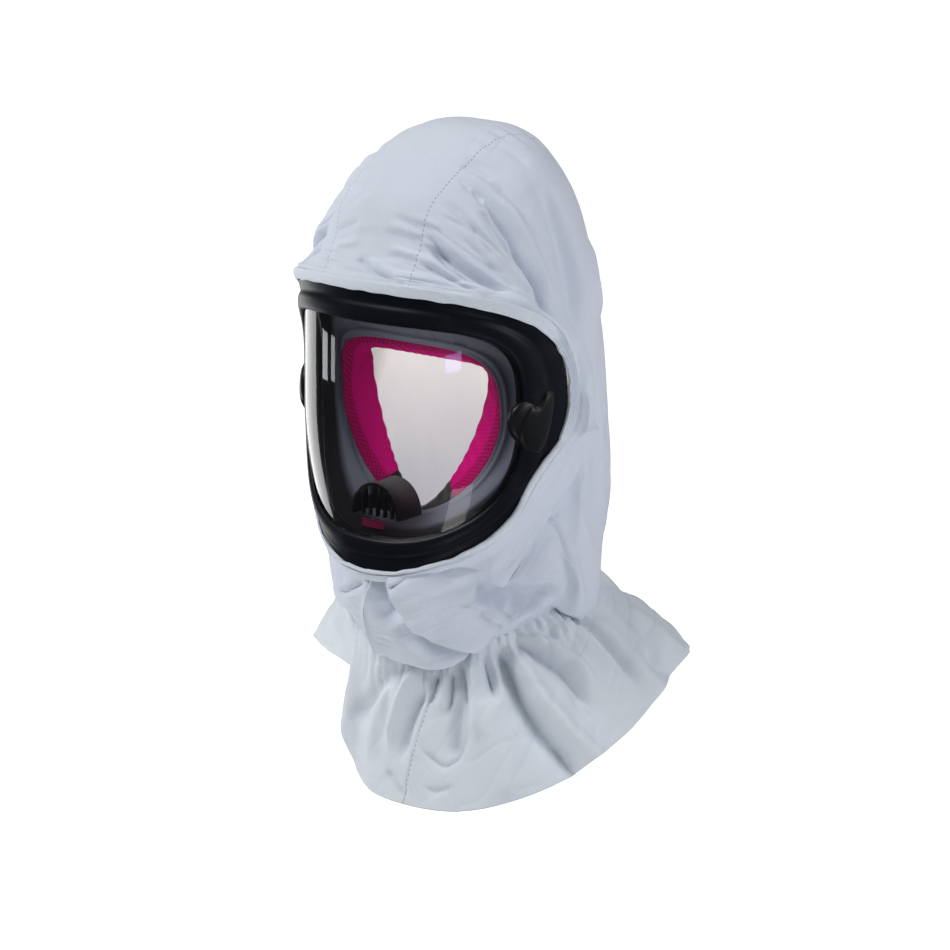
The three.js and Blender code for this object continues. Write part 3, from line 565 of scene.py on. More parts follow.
shroud_rubber = moulded_finish(
    "shroud_rubber", (0.15, 0.16, 0.205), (0.175, 0.185, 0.23), 0.5, 0.6, 0.012, Specular_IOR_Level=0.3
)
shroud_tree = shroud_rubber.node_tree
shroud_shader = shroud_tree.nodes["Principled BSDF"]
shroud_axes = own_lay(shroud_tree)[1]
shroud_deep = map_range(shroud_tree, np.array(SHROUD_DARK) * MM)
shroud_shade = colour_mix(shroud_tree, A=SHROUD_DARK_COLOUR)
shroud_dusty = shroud_shader.inputs["Base Color"].links[0].from_socket
shroud_tree.links.new(shroud_dusty, shroud_shade.inputs["B"])
wire(
    shroud_tree,
    (shroud_axes, "Y", shroud_deep, "Value"),
    (shroud_deep, "Result", shroud_shade, "Factor"),
    (shroud_shade, "Result", shroud_shader, "Base Color"),
)
shroud_s, shroud_f = np.meshgrid(
    np.linspace(-np.pi, np.pi, SHROUD_STEPS, endpoint=False), np.linspace(0, 1, SHROUD_ROWS), indexing="ij"
)
shroud = make_piece(
    "shroud_funnel",
    shroud_point(shroud_s, shroud_f),
    grid_faces(SHROUD_STEPS, SHROUD_ROWS, wrap_rows=True),
    shroud_rubber,
    ["inner_shroud"],
    uv=np.stack([shroud_s, shroud_f], -1),
)
give_wall(shroud, SHROUD_WALL)


# Face seal and chin lip
# A magenta perforated mesh sewn round the face opening, closed under the chin by a black rubber lip.
SEAL_INNER = {
    "half": 48.5, "top": -149.5, "bottom": -250.5, "mid": -160,
    "upper": 6.5, "lower": 1.45, "top_y": -37, "side_y": -32, "bottom_y": -42,
}
SEAL_BOW = 5
SEAL_RUFFLE, SEAL_RUFFLES = 0.5, 41
SEAL_HEM, SEAL_HEM_COLOUR = (8, 9.5), (0.46, 0.001, 0.13)
SEAL_WALL = 1.2
SEAL_PITCH, SEAL_HOLE, SEAL_DEPTH = 2.4, (0.24, 0.36), 0.0006
SEAL_STEPS, SEAL_ROWS = 260, 14
LIP_HALF_ANGLE = np.radians(30)
LIP_STEPS, LIP_ROWS = 60, 12


def seal_point(s, f):
    """From the outer loop to the inner one, bowed forward, with a small ruffle at the free edge."""
    p = face_loop(SEAL_OUTER, s) * (1 - f[..., None]) + face_loop(SEAL_INNER, s) * f[..., None]
    p[..., 1] -= SEAL_BOW * f * (1 - f)
    p[..., 1] += SEAL_RUFFLE * f * np.sin(SEAL_RUFFLES * s + 2 * np.sin(5 * s))
    return p


seal_mesh, seal_tree, seal_shader = new_finish(
    "seal_mesh", (0.3, 0.006, 0.085), 0.75, Specular_IOR_Level=0.1
)
seal_lay, seal_axes = own_lay(seal_tree)
seal_turn = add_node(seal_tree, "ShaderNodeMapping", Rotation=(0, 0, np.pi / 4))
seal_holes = add_node(seal_tree, "ShaderNodeTexVoronoi", Scale=1 / (SEAL_PITCH * MM), Randomness=0)
seal_edge = map_range(seal_tree, SEAL_HOLE)
seal_tint = colour_mix(seal_tree, A=(0.1, 0.0005, 0.022), B=(0.36, 0.0015, 0.095))
seal_bound = map_range(seal_tree, np.array(SEAL_HEM) * MM)
seal_bare = colour_mix(seal_tree, B=SEAL_HEM_COLOUR)
seal_relief = add_node(seal_tree, "ShaderNodeBump", Strength=0.6, Distance=SEAL_DEPTH)
wire(
    seal_tree,
    (seal_lay, "UV", seal_turn, "Vector"),
    (seal_turn, "Vector", seal_holes, "Vector"),
    (seal_holes, "Distance", seal_edge, "Value"),
    (seal_edge, "Result", seal_tint, "Factor"),
    (seal_axes, "Y", seal_bound, "Value"),
    (seal_bound, "Result", seal_bare, "Factor"),
    (seal_tint, "Result", seal_bare, "A"),
    (seal_bare, "Result", seal_shader, "Base Color"),
    (seal_edge, "Result", seal_relief, "Height"),
    (seal_relief, "Normal", seal_shader, "Normal"),
)
lip_rubber = moulded_finish("lip_rubber", (0.014, 0.014, 0.016), (0.03, 0.03, 0.034), 0.34, 0.5, 0.12)


def lay_flat(points):
    """Flat coordinates of a strip of rows: length run along each row, and length run across."""
    along = np.linalg.norm(np.diff(points, axis=0), axis=-1)
    across = np.linalg.norm(np.diff(points, axis=1), axis=-1)
    u = np.concatenate([np.zeros((1, points.shape[1])), np.cumsum(along, 0)])
    v = np.concatenate([np.zeros((points.shape[0], 1)), np.cumsum(across, 1)], 1)
    return np.stack([u.mean(1, keepdims=True) + 0 * u, v], -1)


seal_reach = np.linspace(LIP_HALF_ANGLE - np.pi, np.pi - LIP_HALF_ANGLE, SEAL_STEPS)
seal_points = seal_point(*np.meshgrid(seal_reach, np.linspace(0, 1, SEAL_ROWS), indexing="ij"))
seal_faces = grid_faces(SEAL_STEPS, SEAL_ROWS)
seal_uv = lay_flat(seal_points)
seal = make_piece("seal_mesh", seal_points, seal_faces, seal_mesh, ["face_seal"], uv=seal_uv)
give_wall(seal, SEAL_WALL)
lip_reach = np.pi + np.linspace(-LIP_HALF_ANGLE, LIP_HALF_ANGLE, LIP_STEPS)
lip_points = seal_point(*np.meshgrid(lip_reach, np.linspace(0, 1, LIP_ROWS), indexing="ij"))
lip_faces = grid_faces(LIP_STEPS, LIP_ROWS)
lip = make_piece("chin_lip_rubber", lip_points, lip_faces, lip_rubber, ["chin_lip"])
give_wall(lip, SEAL_WALL)


# Exhalation valve and tag
# A black vaulted housing over the chin, open to the front behind upright ribs, with a bare tag below.
# Both keep their construction shapes and only take a finish here.
valve_black = moulded_finish(
    "valve_black", (0.012, 0.012, 0.015), (0.024, 0.024, 0.03), 0.36, 0.5, 0.02, Specular_IOR_Level=0.3
)
tag_magenta = moulded_finish("tag_magenta", (0.36, 0.006, 0.09), (0.42, 0.03, 0.13), 0.28, 0.4, 0.05)
for node_name, finish in (("chin_valve", valve_black), ("tag_plate", tag_magenta)):
    node_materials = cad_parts[node_name].data.materials
    node_materials.clear()
    node_materials.append(finish)


# Hood panels
# Three panels of white spunbonded cloth: a strip over the crown and a panel on each side, sewn along
# the strip and down the throat. The elastic at the face and the neck throws them into folds.
HEM_INNER = {"half_angle": 81, "top": 82, "bottom": 104, "upper": 2.7, "lower": 2.0, "pull": 0.115}
HEM_OUTER = {"half_angle": 86.5, "top": 90.5, "bottom": 112.5, "upper": 2.7, "lower": 2.0, "pull": 0.115}
# The edge under the hem: angle from the top, share of the way across the hem and height off the lens
HOOD_EDGE = np.array(
    [(0, 0.9, 5.6), (48, 0.9, 5.6), (62, 0.8, 5.2), (92, 0.8, 5.2)]
    + [(104, 0.62, 5.4), (126, 0.6, 5.4), (146, 0.4, 4.8), (180, 0.4, 4.8)]
)
CROWN_STRIP_HALF = 36
CLOTH_WALL = 0.5
# Hoops: y and z over the crown, at the ear and at the throat, half-width and squareness over the top
HOOPS = [
    (-92, -66.5, 4, -178.5, -101, -299.5, 105.5, 2.7),
    (-75, -31.5, 12, -182.5, -102, -307.5, 102, 2.55),
    (1, -0.5, 17, -189.5, -101, -315.5, 95.5, 2.87),
    (61.5, -22, 16.5, -208.5, -99, -322.5, 86.5, 2.27),
    (88.5, -124.5, 19, -242.5, -96, -329.5, 88, 2.17),
    (103, -230.5, 15.5, -292.5, -88, -337.5, 87, 2.12),
    (85, -310.5, 4, -314.5, -76, -342.5, 78, 2.0),
]
# Folds: a path of (angle round the hoop, share from face to neck), half-width, height, how far the wide
# side lies to the left of the path, and the power of the bell, 1 for a sharp crest
HOOD_FOLDS = [
    ([(7, 0.228), (14.5, 0.214), (21.5, 0.202)], 2.8, -1.3, 0, 1.6),
    ([(2.5, 0.182), (13.5, 0.176), (21.5, 0.18)], 2.6, -1.6, 0, 1.6),
    ([(5.5, 0.208), (14.5, 0.196), (20.5, 0.192)], 2.6, 1.8, 0, 2),
    ([(5, 0.112), (13, 0.118), (18.5, 0.108)], 2.8, -1.6, 0, 1.6),
    ([(6.5, 0.14), (14, 0.136), (19.5, 0.134)], 3, 1.8, 0, 2),
    ([(-2.5, 0.078), (3.5, 0.038), (9, 0)], 2.6, -2.8, 0, 1.5),
    ([(-1, 0.096), (7, 0.058), (11.5, 0.008)], 3.5, 2, 0, 2),
    ([(-13.5, 0.248), (-5.5, 0.27), (0.5, 0.3)], 8, 1.6, 0, 2),
    ([(-19.5, 0.168), (-13.5, 0.184), (-6.5, 0.2)], 2.6, -1.2, 0, 1.6),
    ([(-16.5, 0.12), (-12, 0.134), (-5.5, 0.146)], 3, 1.8, 0, 2),
    ([(-17, 0.238), (-10.5, 0.258), (-3, 0.28)], 2.6, -1.4, 0, 1.5),
    ([(21, 0.206), (27.5, 0.158), (33, 0.13), (38, 0.102), (40.5, 0.048)], 2.8, -8.5, 0, 1.2),
    ([(22.5, 0.22), (28.5, 0.186), (35.5, 0.152), (41, 0.098), (43.5, 0)], 5.5, 4.5, 0, 2),
    ([(20.5, 0.17), (26, 0.144), (29.5, 0.112), (33, 0.082)], 2, -4.7, 0, 1.2),
    ([(20.5, 0.15), (26.5, 0.088), (31, 0.022)], 3.2, 2.6, 0, 2),
    ([(18, 0.114), (25, 0.076), (29.5, 0.018)], 2, -4.4, 0, 1.2),
    ([(27.5, 0.324), (33, 0.316), (37.5, 0.304), (42.5, 0.29), (47, 0.258), (52, 0.222), (55.5, 0.146),
      (59, 0.058)], 2.1, -8.5, 0, 1.1),
    ([(32, 0.338), (38.5, 0.328), (45, 0.31), (51.5, 0.276), (58.5, 0.214)], 5.5, 6, 0, 2),
    ([(31, 0.304), (36.5, 0.28), (41.5, 0.264), (47, 0.256)], 2.6, -4.5, 0, 1.3),
    ([(29, 0.3), (37.5, 0.268), (47.5, 0.22), (54, 0.158)], 4.5, 2.6, 0, 2),
    ([(19.5, 0.29), (26.5, 0.278), (32.5, 0.264), (38.5, 0.25), (45, 0.224)], 1.3, -3.1, 0, 1.1),
    ([(22, 0.29), (29.5, 0.28), (37, 0.252)], 1.3, -2.3, 0, 1.1),
    ([(21, 0.256), (28, 0.256), (34, 0.254), (38.5, 0.234), (42, 0.218)], 1.3, -2.6, 0, 1.1),
    ([(26, 0.324), (29.5, 0.318), (33, 0.304)], 1.3, -2.1, 0, 1.1),
    ([(29, 0.234), (37, 0.206), (45, 0.154), (45, 0.024)], 2.4, -2.6, 0, 1.3),
    ([(20, 0.324), (27.5, 0.314), (37, 0.294)], 3, 2.4, 0, 2),
    ([(20, 0.332), (26.5, 0.322), (32, 0.318)], 1.4, -2.9, 0, 1.1),
    ([(18, 0.35), (24, 0.35), (30.5, 0.35)], 1.6, -2.9, 0, 1.2),
    ([(20.5, 0.342), (29.5, 0.336), (38.5, 0.324)], 3.5, 2.4, 0, 2),
    ([(19, 0.362), (26.5, 0.364), (32, 0.368)], 2, -2, 0, 1.3),
    ([(18.5, 0.366), (31, 0.356), (43.5, 0.336)], 5, -2.6, 0, 2),
    ([(19.5, 0.402), (26.5, 0.406), (34, 0.406)], 4, -1.8, 0, 2),
    ([(38, 0.404), (44, 0.392), (51, 0.372), (60, 0.334), (69, 0.228)], 8, -8, 0, 2),
    ([(45.5, 0.362), (52, 0.338), (60, 0.292), (68, 0.114)], 2, 2.8, 0, 1.3),
    ([(48.5, 0.516), (60.5, 0.456), (65, 0.57)], 8, 4, 0, 2),
    ([(68, 0.194), (73, 0.042), (81.5, 0)], 2, -1.2, 0, 1.5),
    ([(71.5, 0.202), (82, 0.044), (96.5, 0.056), (93, 0.646), (96, 0.748), (96.5, 0.83)], 4, 5, 0, 1.4),
    ([(79.5, 0.648), (76.5, 0.74), (80, 0.772), (86.5, 0.79)], 11, -5.5, 0, 2),
    ([(87, 0.07), (100, 0.064), (111.5, 0.082), (120, 0.102)], 6, 2.5, 0, 2),
    ([(117, 0.27), (103.5, 0.694), (101, 0.768), (96, 0.824)], 1.6, -3.1, 0, 1.2),
    ([(122.5, 0.13), (105.5, 0.616), (102.5, 0.648)], 1.8, -1.8, 0, 1.4),
    ([(126.5, 0.234), (109.5, 0.654), (103, 0.712)], 3, -1.4, 0, 1.6),
    ([(147, 0.215), (137, 0.39), (124, 0.64), (113, 0.745), (103, 0.795)], 8, 8, 0.75, 2),
    ([(141.5, 0.448), (129.5, 0.682), (120.5, 0.772), (109.5, 0.832), (99.5, 0.864)], 6.5, -12, 0, 2),
    ([(104, 0.736), (99.5, 0.792), (95.5, 0.842), (95, 0.888), (95, 0.964)], 5, 7, 0.6, 2),
    ([(126, 0.764), (122, 0.802), (116, 0.836), (108.5, 0.87)], 4, -4, 0, 2),
    ([(170, 0.05), (166.5, 0.246), (161, 0.476), (153.5, 0.724), (145, 0.796), (135.5, 0.872),
      (128.5, 0.886)], 10, 7, 0.75, 2),
    ([(165.5, 0.356), (159.5, 0.61), (154, 0.764), (145.5, 0.83), (136.5, 0.914), (129.5, 0.916)],
     2.4, -4, 0, 1.3),
    ([(164.5, 0.19), (155.5, 0.372), (142, 0.64), (132, 0.778), (126, 0.822)], 14, 3.5, 0, 3),
    ([(172, 0.506), (166, 0.73), (159, 0.81), (151.5, 0.862), (142.5, 0.914)], 6, 4.5, 0, 2),
    ([(177.5, 0.012), (174, 0.152), (170, 0.312), (165, 0.528)], 6.5, -11, 0, 1.7),
    ([(169, 0.044), (163.5, 0), (157.5, 0), (148, 0.124), (141.5, 0.204)], 2.2, -5, 0, 1.3),
    ([(139, 0.69), (132, 0.794), (126.5, 0.858)], 1.6, -2.9, 0, 1.2),
    ([(146.5, 0.44), (135.5, 0.716), (128, 0.81)], 2, -2, 0, 1.3),
    ([(131.5, 0.722), (127, 0.79), (123, 0.842)], 1.8, -3.6, 0, 1.2),
    ([(-162.5, 0.358), (-172.5, 0.134), (-178.5, 0.044)], 2.2, -4, 0, 1.4),
    ([(-156.5, 0.044), (-163.5, 0.06), (-169.5, 0.116)], 2.6, -2.2, 0, 1.5),
    ([(26, 0.66), (24, 0.82), (18, 0.98)], 12, -4, 0, 2),
    ([(58, 0.72), (56, 0.86), (54, 0.98)], 10, -4, 0, 2),
    ([(0, 0.70), (2, 0.85), (4, 0.98)], 10, 3, 0, 2),
]
# The far side takes the same folds, drifted a little; those over the crown stay where they are
FAR_FROM, FAR_TO, FAR_TURN, FAR_SHARE, FAR_HEIGHT = 18, 132, 4, 1.04, 0.8
FAR_LAST = 178
# A path is cut into fine steps; a fold eases in and out along it unless an end runs off the cloth
FOLD_FINE, FOLD_REACH = 4, 4
FOLD_EASE_IN, FOLD_EASE_OUT, FOLD_LEAST = 0.3, 0.25, 0.06
FOLD_NEAR_HEM, FOLD_NEAR_NECK, FOLD_DEEP = 0.08, 0.9, -4
FOLD_HANG = 0.55
# How far the edge laps the neck seam, and how far the neck rides up on one side
NECK_LAP, NECK_LAP_FROM, NECK_LAP_EASE = 2.6, 0.975, 0.02
NECK_LIFT, NECK_LIFT_THROAT, NECK_LIFT_NAPE, NECK_LIFT_FROM = 18, 18, (60, 95), 0.15
# Where the cloth bags over the neck seam: angle round the hoop, spread, drop and how far out
NECK_BAGS = [
    (158, 20, 10, 5),
    (84, 8.5, 30, 7),
    (112, 10, -2, 2),
    (48, 16, 6, 3),
    (-140, 22, 2, 3),
    (-95, 18, 8, 4),
    (-40, 22, 6, 3),
    (8, 16, 5, 2),
]
NECK_GATHERS, NECK_GATHER_HEIGHT, NECK_GATHER_SEED = 78, 1.6, 37
NECK_GATHER_FROM, NECK_GATHER_EASE = 0.86, 0.12
HEM_PLEATS, HEM_PLEAT_HEIGHT, HEM_PLEAT_SEED = 96, 0.5, 23
PLEAT_DRIFT, PLEAT_DRIFT_EVERY, PLEAT_POWER, PLEAT_SINK = 1.6, 9, 0.8, 0.6
PLEAT_LEVEL, PLEAT_LEVEL_DRIFT, PLEAT_LEVEL_EVERY, PLEAT_LEVEL_ROW = 0.65, 0.35, 5, 7
# How tightly the elastic gathers: the least, then bells of height, angle from the top and spread
HOOD_TIGHT = 0.25, [(1, 68, 24), (0.5, 150, 16)]
# Bands where an effect shows: its low end and rise, its high end and fall, in shares or degrees
HOOD_FADE, NECK_ROLL, HEM_PLEAT_BAND = (0, 0.02, 1, 0.06), (0.7, 0.2, 1, 0.09), (0, 0.02, 0.1, 0.09)
DRAG_TURN, DRAG_SHARE, BROW_BAND = (20, 8, 66, 18), (0.02, 0.06, 0.5, 0.25), (0.015, 0.03, 0.3, 0.22)
CROWN_TURN, CROWN_EASE, THROAT_MEET = 70, 20, 5
# Lengths of cloth for a radian round the hood and from face to neck, and cells of the noise
HOOD_RADIUS, HOOD_RUN, NOISE_CELLS = 95, 330, 89
# Noise: height, width of its lines or 0 for plain noise, length round, shift, slant, length down, seed
HOOD_SLACK = [(1.0, 0, 46, 0, 0, 60, 3), (0.6, 0, 21, 4, 0, 30, 5)]
HOOD_DRAG, DRAG_COS, DRAG_SIN = (-1.5, 0.16, 52, 0, 0, 15, 11), 0.875, 0.48
HOOD_CREASE, CREASE_LEAST = (-0.5, 0.2, 13, 0, 0.02, 19, 17), 0.25
CREASE_PATCH, CREASE_PATCH_BIAS = (1, 0, 40, 0, 0, 40, 19), 0.4
BROW_CRINKLE = (0.6, 0, 17, 0, 1 / 40, 8, 31)
# Puckers and the groove along the crown seams, and the ridge of the throat seam
PUCKER_HEIGHT, PUCKER_WIDTH, PUCKER_LENGTH, PUCKER_SEED, PUCKER_APART = 0.9, 11, 4.5, 29, 3
SEAM_GROOVE, SEAM_GROOVE_WIDTH = 0.15, 1.2
THROAT_RIDGE, THROAT_RIDGE_WIDTH, THROAT_MM_PER_DEGREE = 1.2, 1.3, 1.4
THROAT_FROM, THROAT_EASE = 0.05, 0.1
HOOD_TANGENT_TURN, HOOD_TANGENT_SHARE = 0.01, 0.005


def hoop_point(row, sigma):
    """A hoop of the hood: a rounded oval, its depth and height blended from crown to ear to throat
    with the square of the height."""
    back_y, back_z, side_y, side_z, throat_y, throat_z, half, square = row
    r = np.where(np.cos(sigma) > 0, rounded_radius(sigma, square), 1.0)
    c = r * np.cos(sigma)
    y = side_y + c * (back_y - throat_y) / 2 + c * c * ((back_y + throat_y) / 2 - side_y)
    z = side_z + c * (back_z - throat_z) / 2 + c * c * ((back_z + throat_z) / 2 - side_z)
    return np.stack([half * r * np.sin(sigma), y, z], -1)


def neck_lift(sigma):
    """How far the neck rides up on the wearer's right: nothing at the throat and nape, full between."""
    turn = signed_turn(sigma)
    nape_from, nape_ease = NECK_LIFT_NAPE
    return NECK_LIFT * smooth((180 + turn) / NECK_LIFT_THROAT) * smooth((-nape_from - turn) / nape_ease)


def hood_base(sigma, t):
    """The spline from the hem of the face opening through the hoops to the neck."""
    turn = np.abs(signed_turn(sigma))
    share, lift = (np.interp(turn, HOOD_EDGE[:, 0], HOOD_EDGE[:, k]) for k in (1, 2))
    rings = [between_loops(HEM_INNER, HEM_OUTER, sigma, share, lift)]
    rings += [hoop_point(row, sigma) for row in HOOPS]
    rings = np.stack([2 * rings[0] - rings[1], *rings, 2 * rings[-1] - rings[-2]])
    k = np.clip(t, 0, 1) * len(HOOPS)
    i = np.minimum(k.astype(int), len(HOOPS) - 1)
    ends = [np.take_along_axis(rings, (i + j)[None, ..., None], 0)[0] for j in range(4)]
    p = through(*ends, (k - i)[..., None])
    p[..., 2] += neck_lift(sigma) * smooth((t - NECK_LIFT_FROM) / (1 - NECK_LIFT_FROM))
    return p


def hood_normal(sigma, t):
    """Outward normal: the tangent round the hoop crossed with the tangent towards the neck."""
    around = hood_base(sigma + HOOD_TANGENT_TURN, t) - hood_base(sigma - HOOD_TANGENT_TURN, t)
    low, high = np.maximum(t - HOOD_TANGENT_SHARE, 0), np.minimum(t + HOOD_TANGENT_SHARE, 1)
    down = hood_base(sigma, high) - hood_base(sigma, low)
    return unit(np.cross(around, down))


def crumple(a, b, seed):
    """Smooth noise from -1 to 1: seeded values on a square lattice, blended by quintic weights."""
    cells = NOISE_CELLS
    values = np.random.default_rng(seed).uniform(-1, 1, (cells, cells))
    i, j = np.floor(a).astype(int), np.floor(b).astype(int)
    u, v = a - i, b - j
    u, v = (w**3 * (w * (6 * w - 15) + 10) for w in (u, v))
    low, high = (
        values[i % cells, k % cells] * (1 - u) + values[(i + 1) % cells, k % cells] * u for k in (j, j + 1)
    )
    return low * (1 - v) + high * v


def ripple(a, b, row):
    """Smooth noise of its own lengths round and down the cloth, or lines where that noise is near 0."""
    height, width, about, shift, slant, down, seed = row
    noise = crumple(a / about + shift + slant * b, b / down, seed)
    return height * (bell(noise, width) if width else noise)


def tightness(turn, least, places):
    """How tightly elastic gathers at an angle from the top: the least, and a bell at each place."""
    return least + sum(height * bell(turn - at, spread) for height, at, spread in places)


def fold_height(p, normal, folds, base):
    """Sum of the folds at points p: a bell of the distance to each path, wider on one side by its lean and
    tapering to an end that lies clear of the hem and the neck. Leaning ridges also hang over, by the
    second sum."""
    total, hang = np.zeros((2, *p.shape[:-1]))
    for points, width, lift, lean, power in folds:
        corner = np.arange(len(points))
        f = np.linspace(0, len(points) - 1, FOLD_FINE * (len(points) - 1) + 1)
        angle, share = (np.interp(f, corner, column) for column in np.array(points).T)
        path = base(np.radians(angle), share)
        step = np.diff(path, axis=0)
        reach = FOLD_REACH * width
        around = ((p > path.min(0) - reach) & (p < path.max(0) + reach)).all(-1)
        away = p[around][:, None] - path[:-1]
        along = np.clip((away * step).sum(-1) / (step**2).sum(-1), 0, 1)
        gap = away - along[..., None] * step
        distance = np.linalg.norm(gap, axis=-1)
        near = distance.argmin(-1)[..., None]
        d = np.take_along_axis(distance, near, -1)[..., 0]
        s = (near[..., 0] + np.take_along_axis(along, near, -1)[..., 0]) / len(step)
        g = np.take_along_axis(gap, near[..., None], -2)[..., 0, :]
        left = np.sign((np.cross(step[near[..., 0]], g) * normal[around]).sum(-1))
        hem_end = FOLD_NEAR_HEM if lift > FOLD_DEEP else 0
        begun = smooth(s / FOLD_EASE_IN) if FOLD_NEAR_HEM < points[0][1] < FOLD_NEAR_NECK else 1
        ended = smooth((1 - s) / FOLD_EASE_OUT) if hem_end < points[-1][1] < FOLD_NEAR_NECK else 1
        taper = FOLD_LEAST + (1 - FOLD_LEAST) * begun * ended
        crest = lift * taper * np.exp(-((d / (width * (1 + lean * left))) ** power))
        total[around] += crest
        hang[around] += np.maximum(0, lean * crest)
    return total, hang


def pleats(angle, count, seed):
    """Gathers of uneven pitch: rounded ridges with sharp valleys, their height drifting round."""
    phase = count * angle / 2 + PLEAT_DRIFT * crumple(angle * count / PLEAT_DRIFT_EVERY, angle * 0, seed)
    drift = crumple(angle * count / PLEAT_LEVEL_EVERY, angle * 0 + PLEAT_LEVEL_ROW, seed)
    level = PLEAT_LEVEL + PLEAT_LEVEL_DRIFT * drift
    return level * (np.abs(np.sin(phase)) ** PLEAT_POWER - PLEAT_SINK)


all_hood_folds = list(HOOD_FOLDS)
for points, width, lift, lean, power in HOOD_FOLDS:
    if FAR_FROM <= min(angle for angle, share in points) and points[0][0] <= FAR_TO:
        far = [(-min(angle + FAR_TURN, FAR_LAST), min(share * FAR_SHARE, 1)) for angle, share in points]
        all_hood_folds.append((far, width, lift * FAR_HEIGHT, -lean, power))


def hood_cloth(sigma, t):
    """The hood's surface: the base, its folds, the pleats at both elastics, puckers along the crown
    seams, broad slackness and fine crumples, all along the normal, then the bags over the neck."""
    p = hood_base(sigma, t)
    n = hood_normal(sigma, t)
    turn = np.degrees(np.abs(sigma))
    side = np.sign(sigma)
    a, b = sigma * HOOD_RADIUS, t * HOOD_RUN
    meet = smooth((180 - turn) / THROAT_MEET)
    fade = band(t, *HOOD_FADE)
    folds, hang = fold_height(p, n, all_hood_folds, hood_base)
    height = fade * folds + meet * fade * sum(ripple(a, b, row) for row in HOOD_SLACK)
    drag = ripple(DRAG_COS * a - DRAG_SIN * b * side, DRAG_SIN * a * side + DRAG_COS * b, HOOD_DRAG)
    height += drag * band(turn, *DRAG_TURN) * band(t, *DRAG_SHARE)
    patch = smooth(ripple(a, b, CREASE_PATCH) + CREASE_PATCH_BIAS)
    height += meet * ripple(a, b, HOOD_CREASE) * (CREASE_LEAST + (1 - CREASE_LEAST) * patch)
    gathered = tightness(turn, *HOOD_TIGHT) * pleats(sigma, HEM_PLEATS, HEM_PLEAT_SEED)
    height += meet * HEM_PLEAT_HEIGHT * gathered * band(t, *HEM_PLEAT_BAND)
    seam = np.abs(np.abs(p[..., 0]) - CROWN_STRIP_HALF)
    on_top = smooth((CROWN_TURN - turn) / CROWN_EASE)
    pucker = crumple(b / PUCKER_LENGTH, np.sign(p[..., 0]) * PUCKER_APART + 0 * b, PUCKER_SEED)
    height += on_top * PUCKER_HEIGHT * bell(seam, PUCKER_WIDTH) * pucker
    height -= on_top * SEAM_GROOVE * bell(seam, SEAM_GROOVE_WIDTH)
    ridge = bell((180 - turn) * THROAT_MM_PER_DEGREE, THROAT_RIDGE_WIDTH)
    height += THROAT_RIDGE * ridge * smooth((t - THROAT_FROM) / THROAT_EASE)
    height += band(t, *BROW_BAND) * on_top * ripple(a, b, BROW_CRINKLE)
    neck = smooth((t - NECK_GATHER_FROM) / NECK_GATHER_EASE)
    height += meet * NECK_GATHER_HEIGHT * neck * pleats(sigma, NECK_GATHERS, NECK_GATHER_SEED)
    p = p + n * height[..., None]
    p[..., 2] -= FOLD_HANG * fade * hang + NECK_LAP * smooth((t - NECK_LAP_FROM) / NECK_LAP_EASE)
    roll = band(t, *NECK_ROLL)
    outward = unit(n * np.array([1.0, 1.0, 0.0]) + np.array([0.0, 0.0, 1e-6]))
    for angle, spread, drop, out in NECK_BAGS:
        bag = (roll * bell(signed_turn(sigma - np.radians(angle)), spread))[..., None]
        p = p + bag * (outward * out - np.array([0, 0, drop]))
    return p


CRINKLE_FOLD, CRINKLE_HEIGHT = 0.12, 5.0
CLOTH_TINT, CLOTH_ROUGHNESS, CLOTH_DEPTH = (0.12, 0.38), 0.85, 0.0005
STITCH_PITCH, STITCH_SHARE, STITCH_WIDTH, STITCH_INSET = 3.3, 0.55, 0.55, 0.8
# The stitches' dark colour is painted shade, standing in for the shade in the needle holes
STITCH_SHADE_COLOUR = (0.36, 0.37, 0.44)


def math_step(tree, operation, first, second):
    """The output of one Math node; the second operand is a number or another output."""
    step = tree.nodes.new("ShaderNodeMath")
    step.operation = operation
    tree.links.new(first, step.inputs[0])
    if isinstance(second, (int, float)):
        step.inputs[1].default_value = second
    else:
        tree.links.new(second, step.inputs[1])
    return step.outputs["Value"]


def nonwoven_fibre_group():
    """Felted fibre strands, a paper-like crinkle and faint clouding: height, tint and roughness."""
    inputs = {"Fibre": 1100.0, "Crinkle": 95.0, "Cloud": 14.0}
    group, given, result = new_group("nonwoven_fibre", inputs, ("Height", "Tint", "Roughness"))
    strand_lay = add_node(group, "ShaderNodeMapping", Rotation=(0.4, 0.7, 0.9), Scale=(1, 1, 0.2))
    strand = add_node(group, "ShaderNodeTexNoise", Detail=4, Roughness=0.6)
    crinkle = add_node(group, "ShaderNodeTexNoise", Detail=5, Distortion=0.7)
    cloud = add_node(group, "ShaderNodeTexNoise", Detail=3)
    rough = map_range(group, (0, 1), (0.72, 0.9))
    wire(
        group,
        (given, "Vector", strand_lay, "Vector"),
        (strand_lay, "Vector", strand, "Vector"),
        (given, "Fibre", strand, "Scale"),
        (given, "Vector", crinkle, "Vector"),
        (given, "Crinkle", crinkle, "Scale"),
        (given, "Vector", cloud, "Vector"),
        (given, "Cloud", cloud, "Scale"),
        (strand, "Fac", rough, "Value"),
        (rough, "Result", result, "Roughness"),
    )
    strands = strand.outputs["Fac"]
    ridge = math_step(group, "PINGPONG", crinkle.outputs["Fac"], CRINKLE_FOLD)
    high = math_step(group, "ADD", math_step(group, "MULTIPLY", ridge, CRINKLE_HEIGHT), strands)
    group.links.new(high, result.inputs["Height"])
    group.links.new(math_step(group, "MULTIPLY", cloud.outputs["Fac"], strands), result.inputs["Tint"])
    return group


nonwoven_fibre = nonwoven_fibre_group()


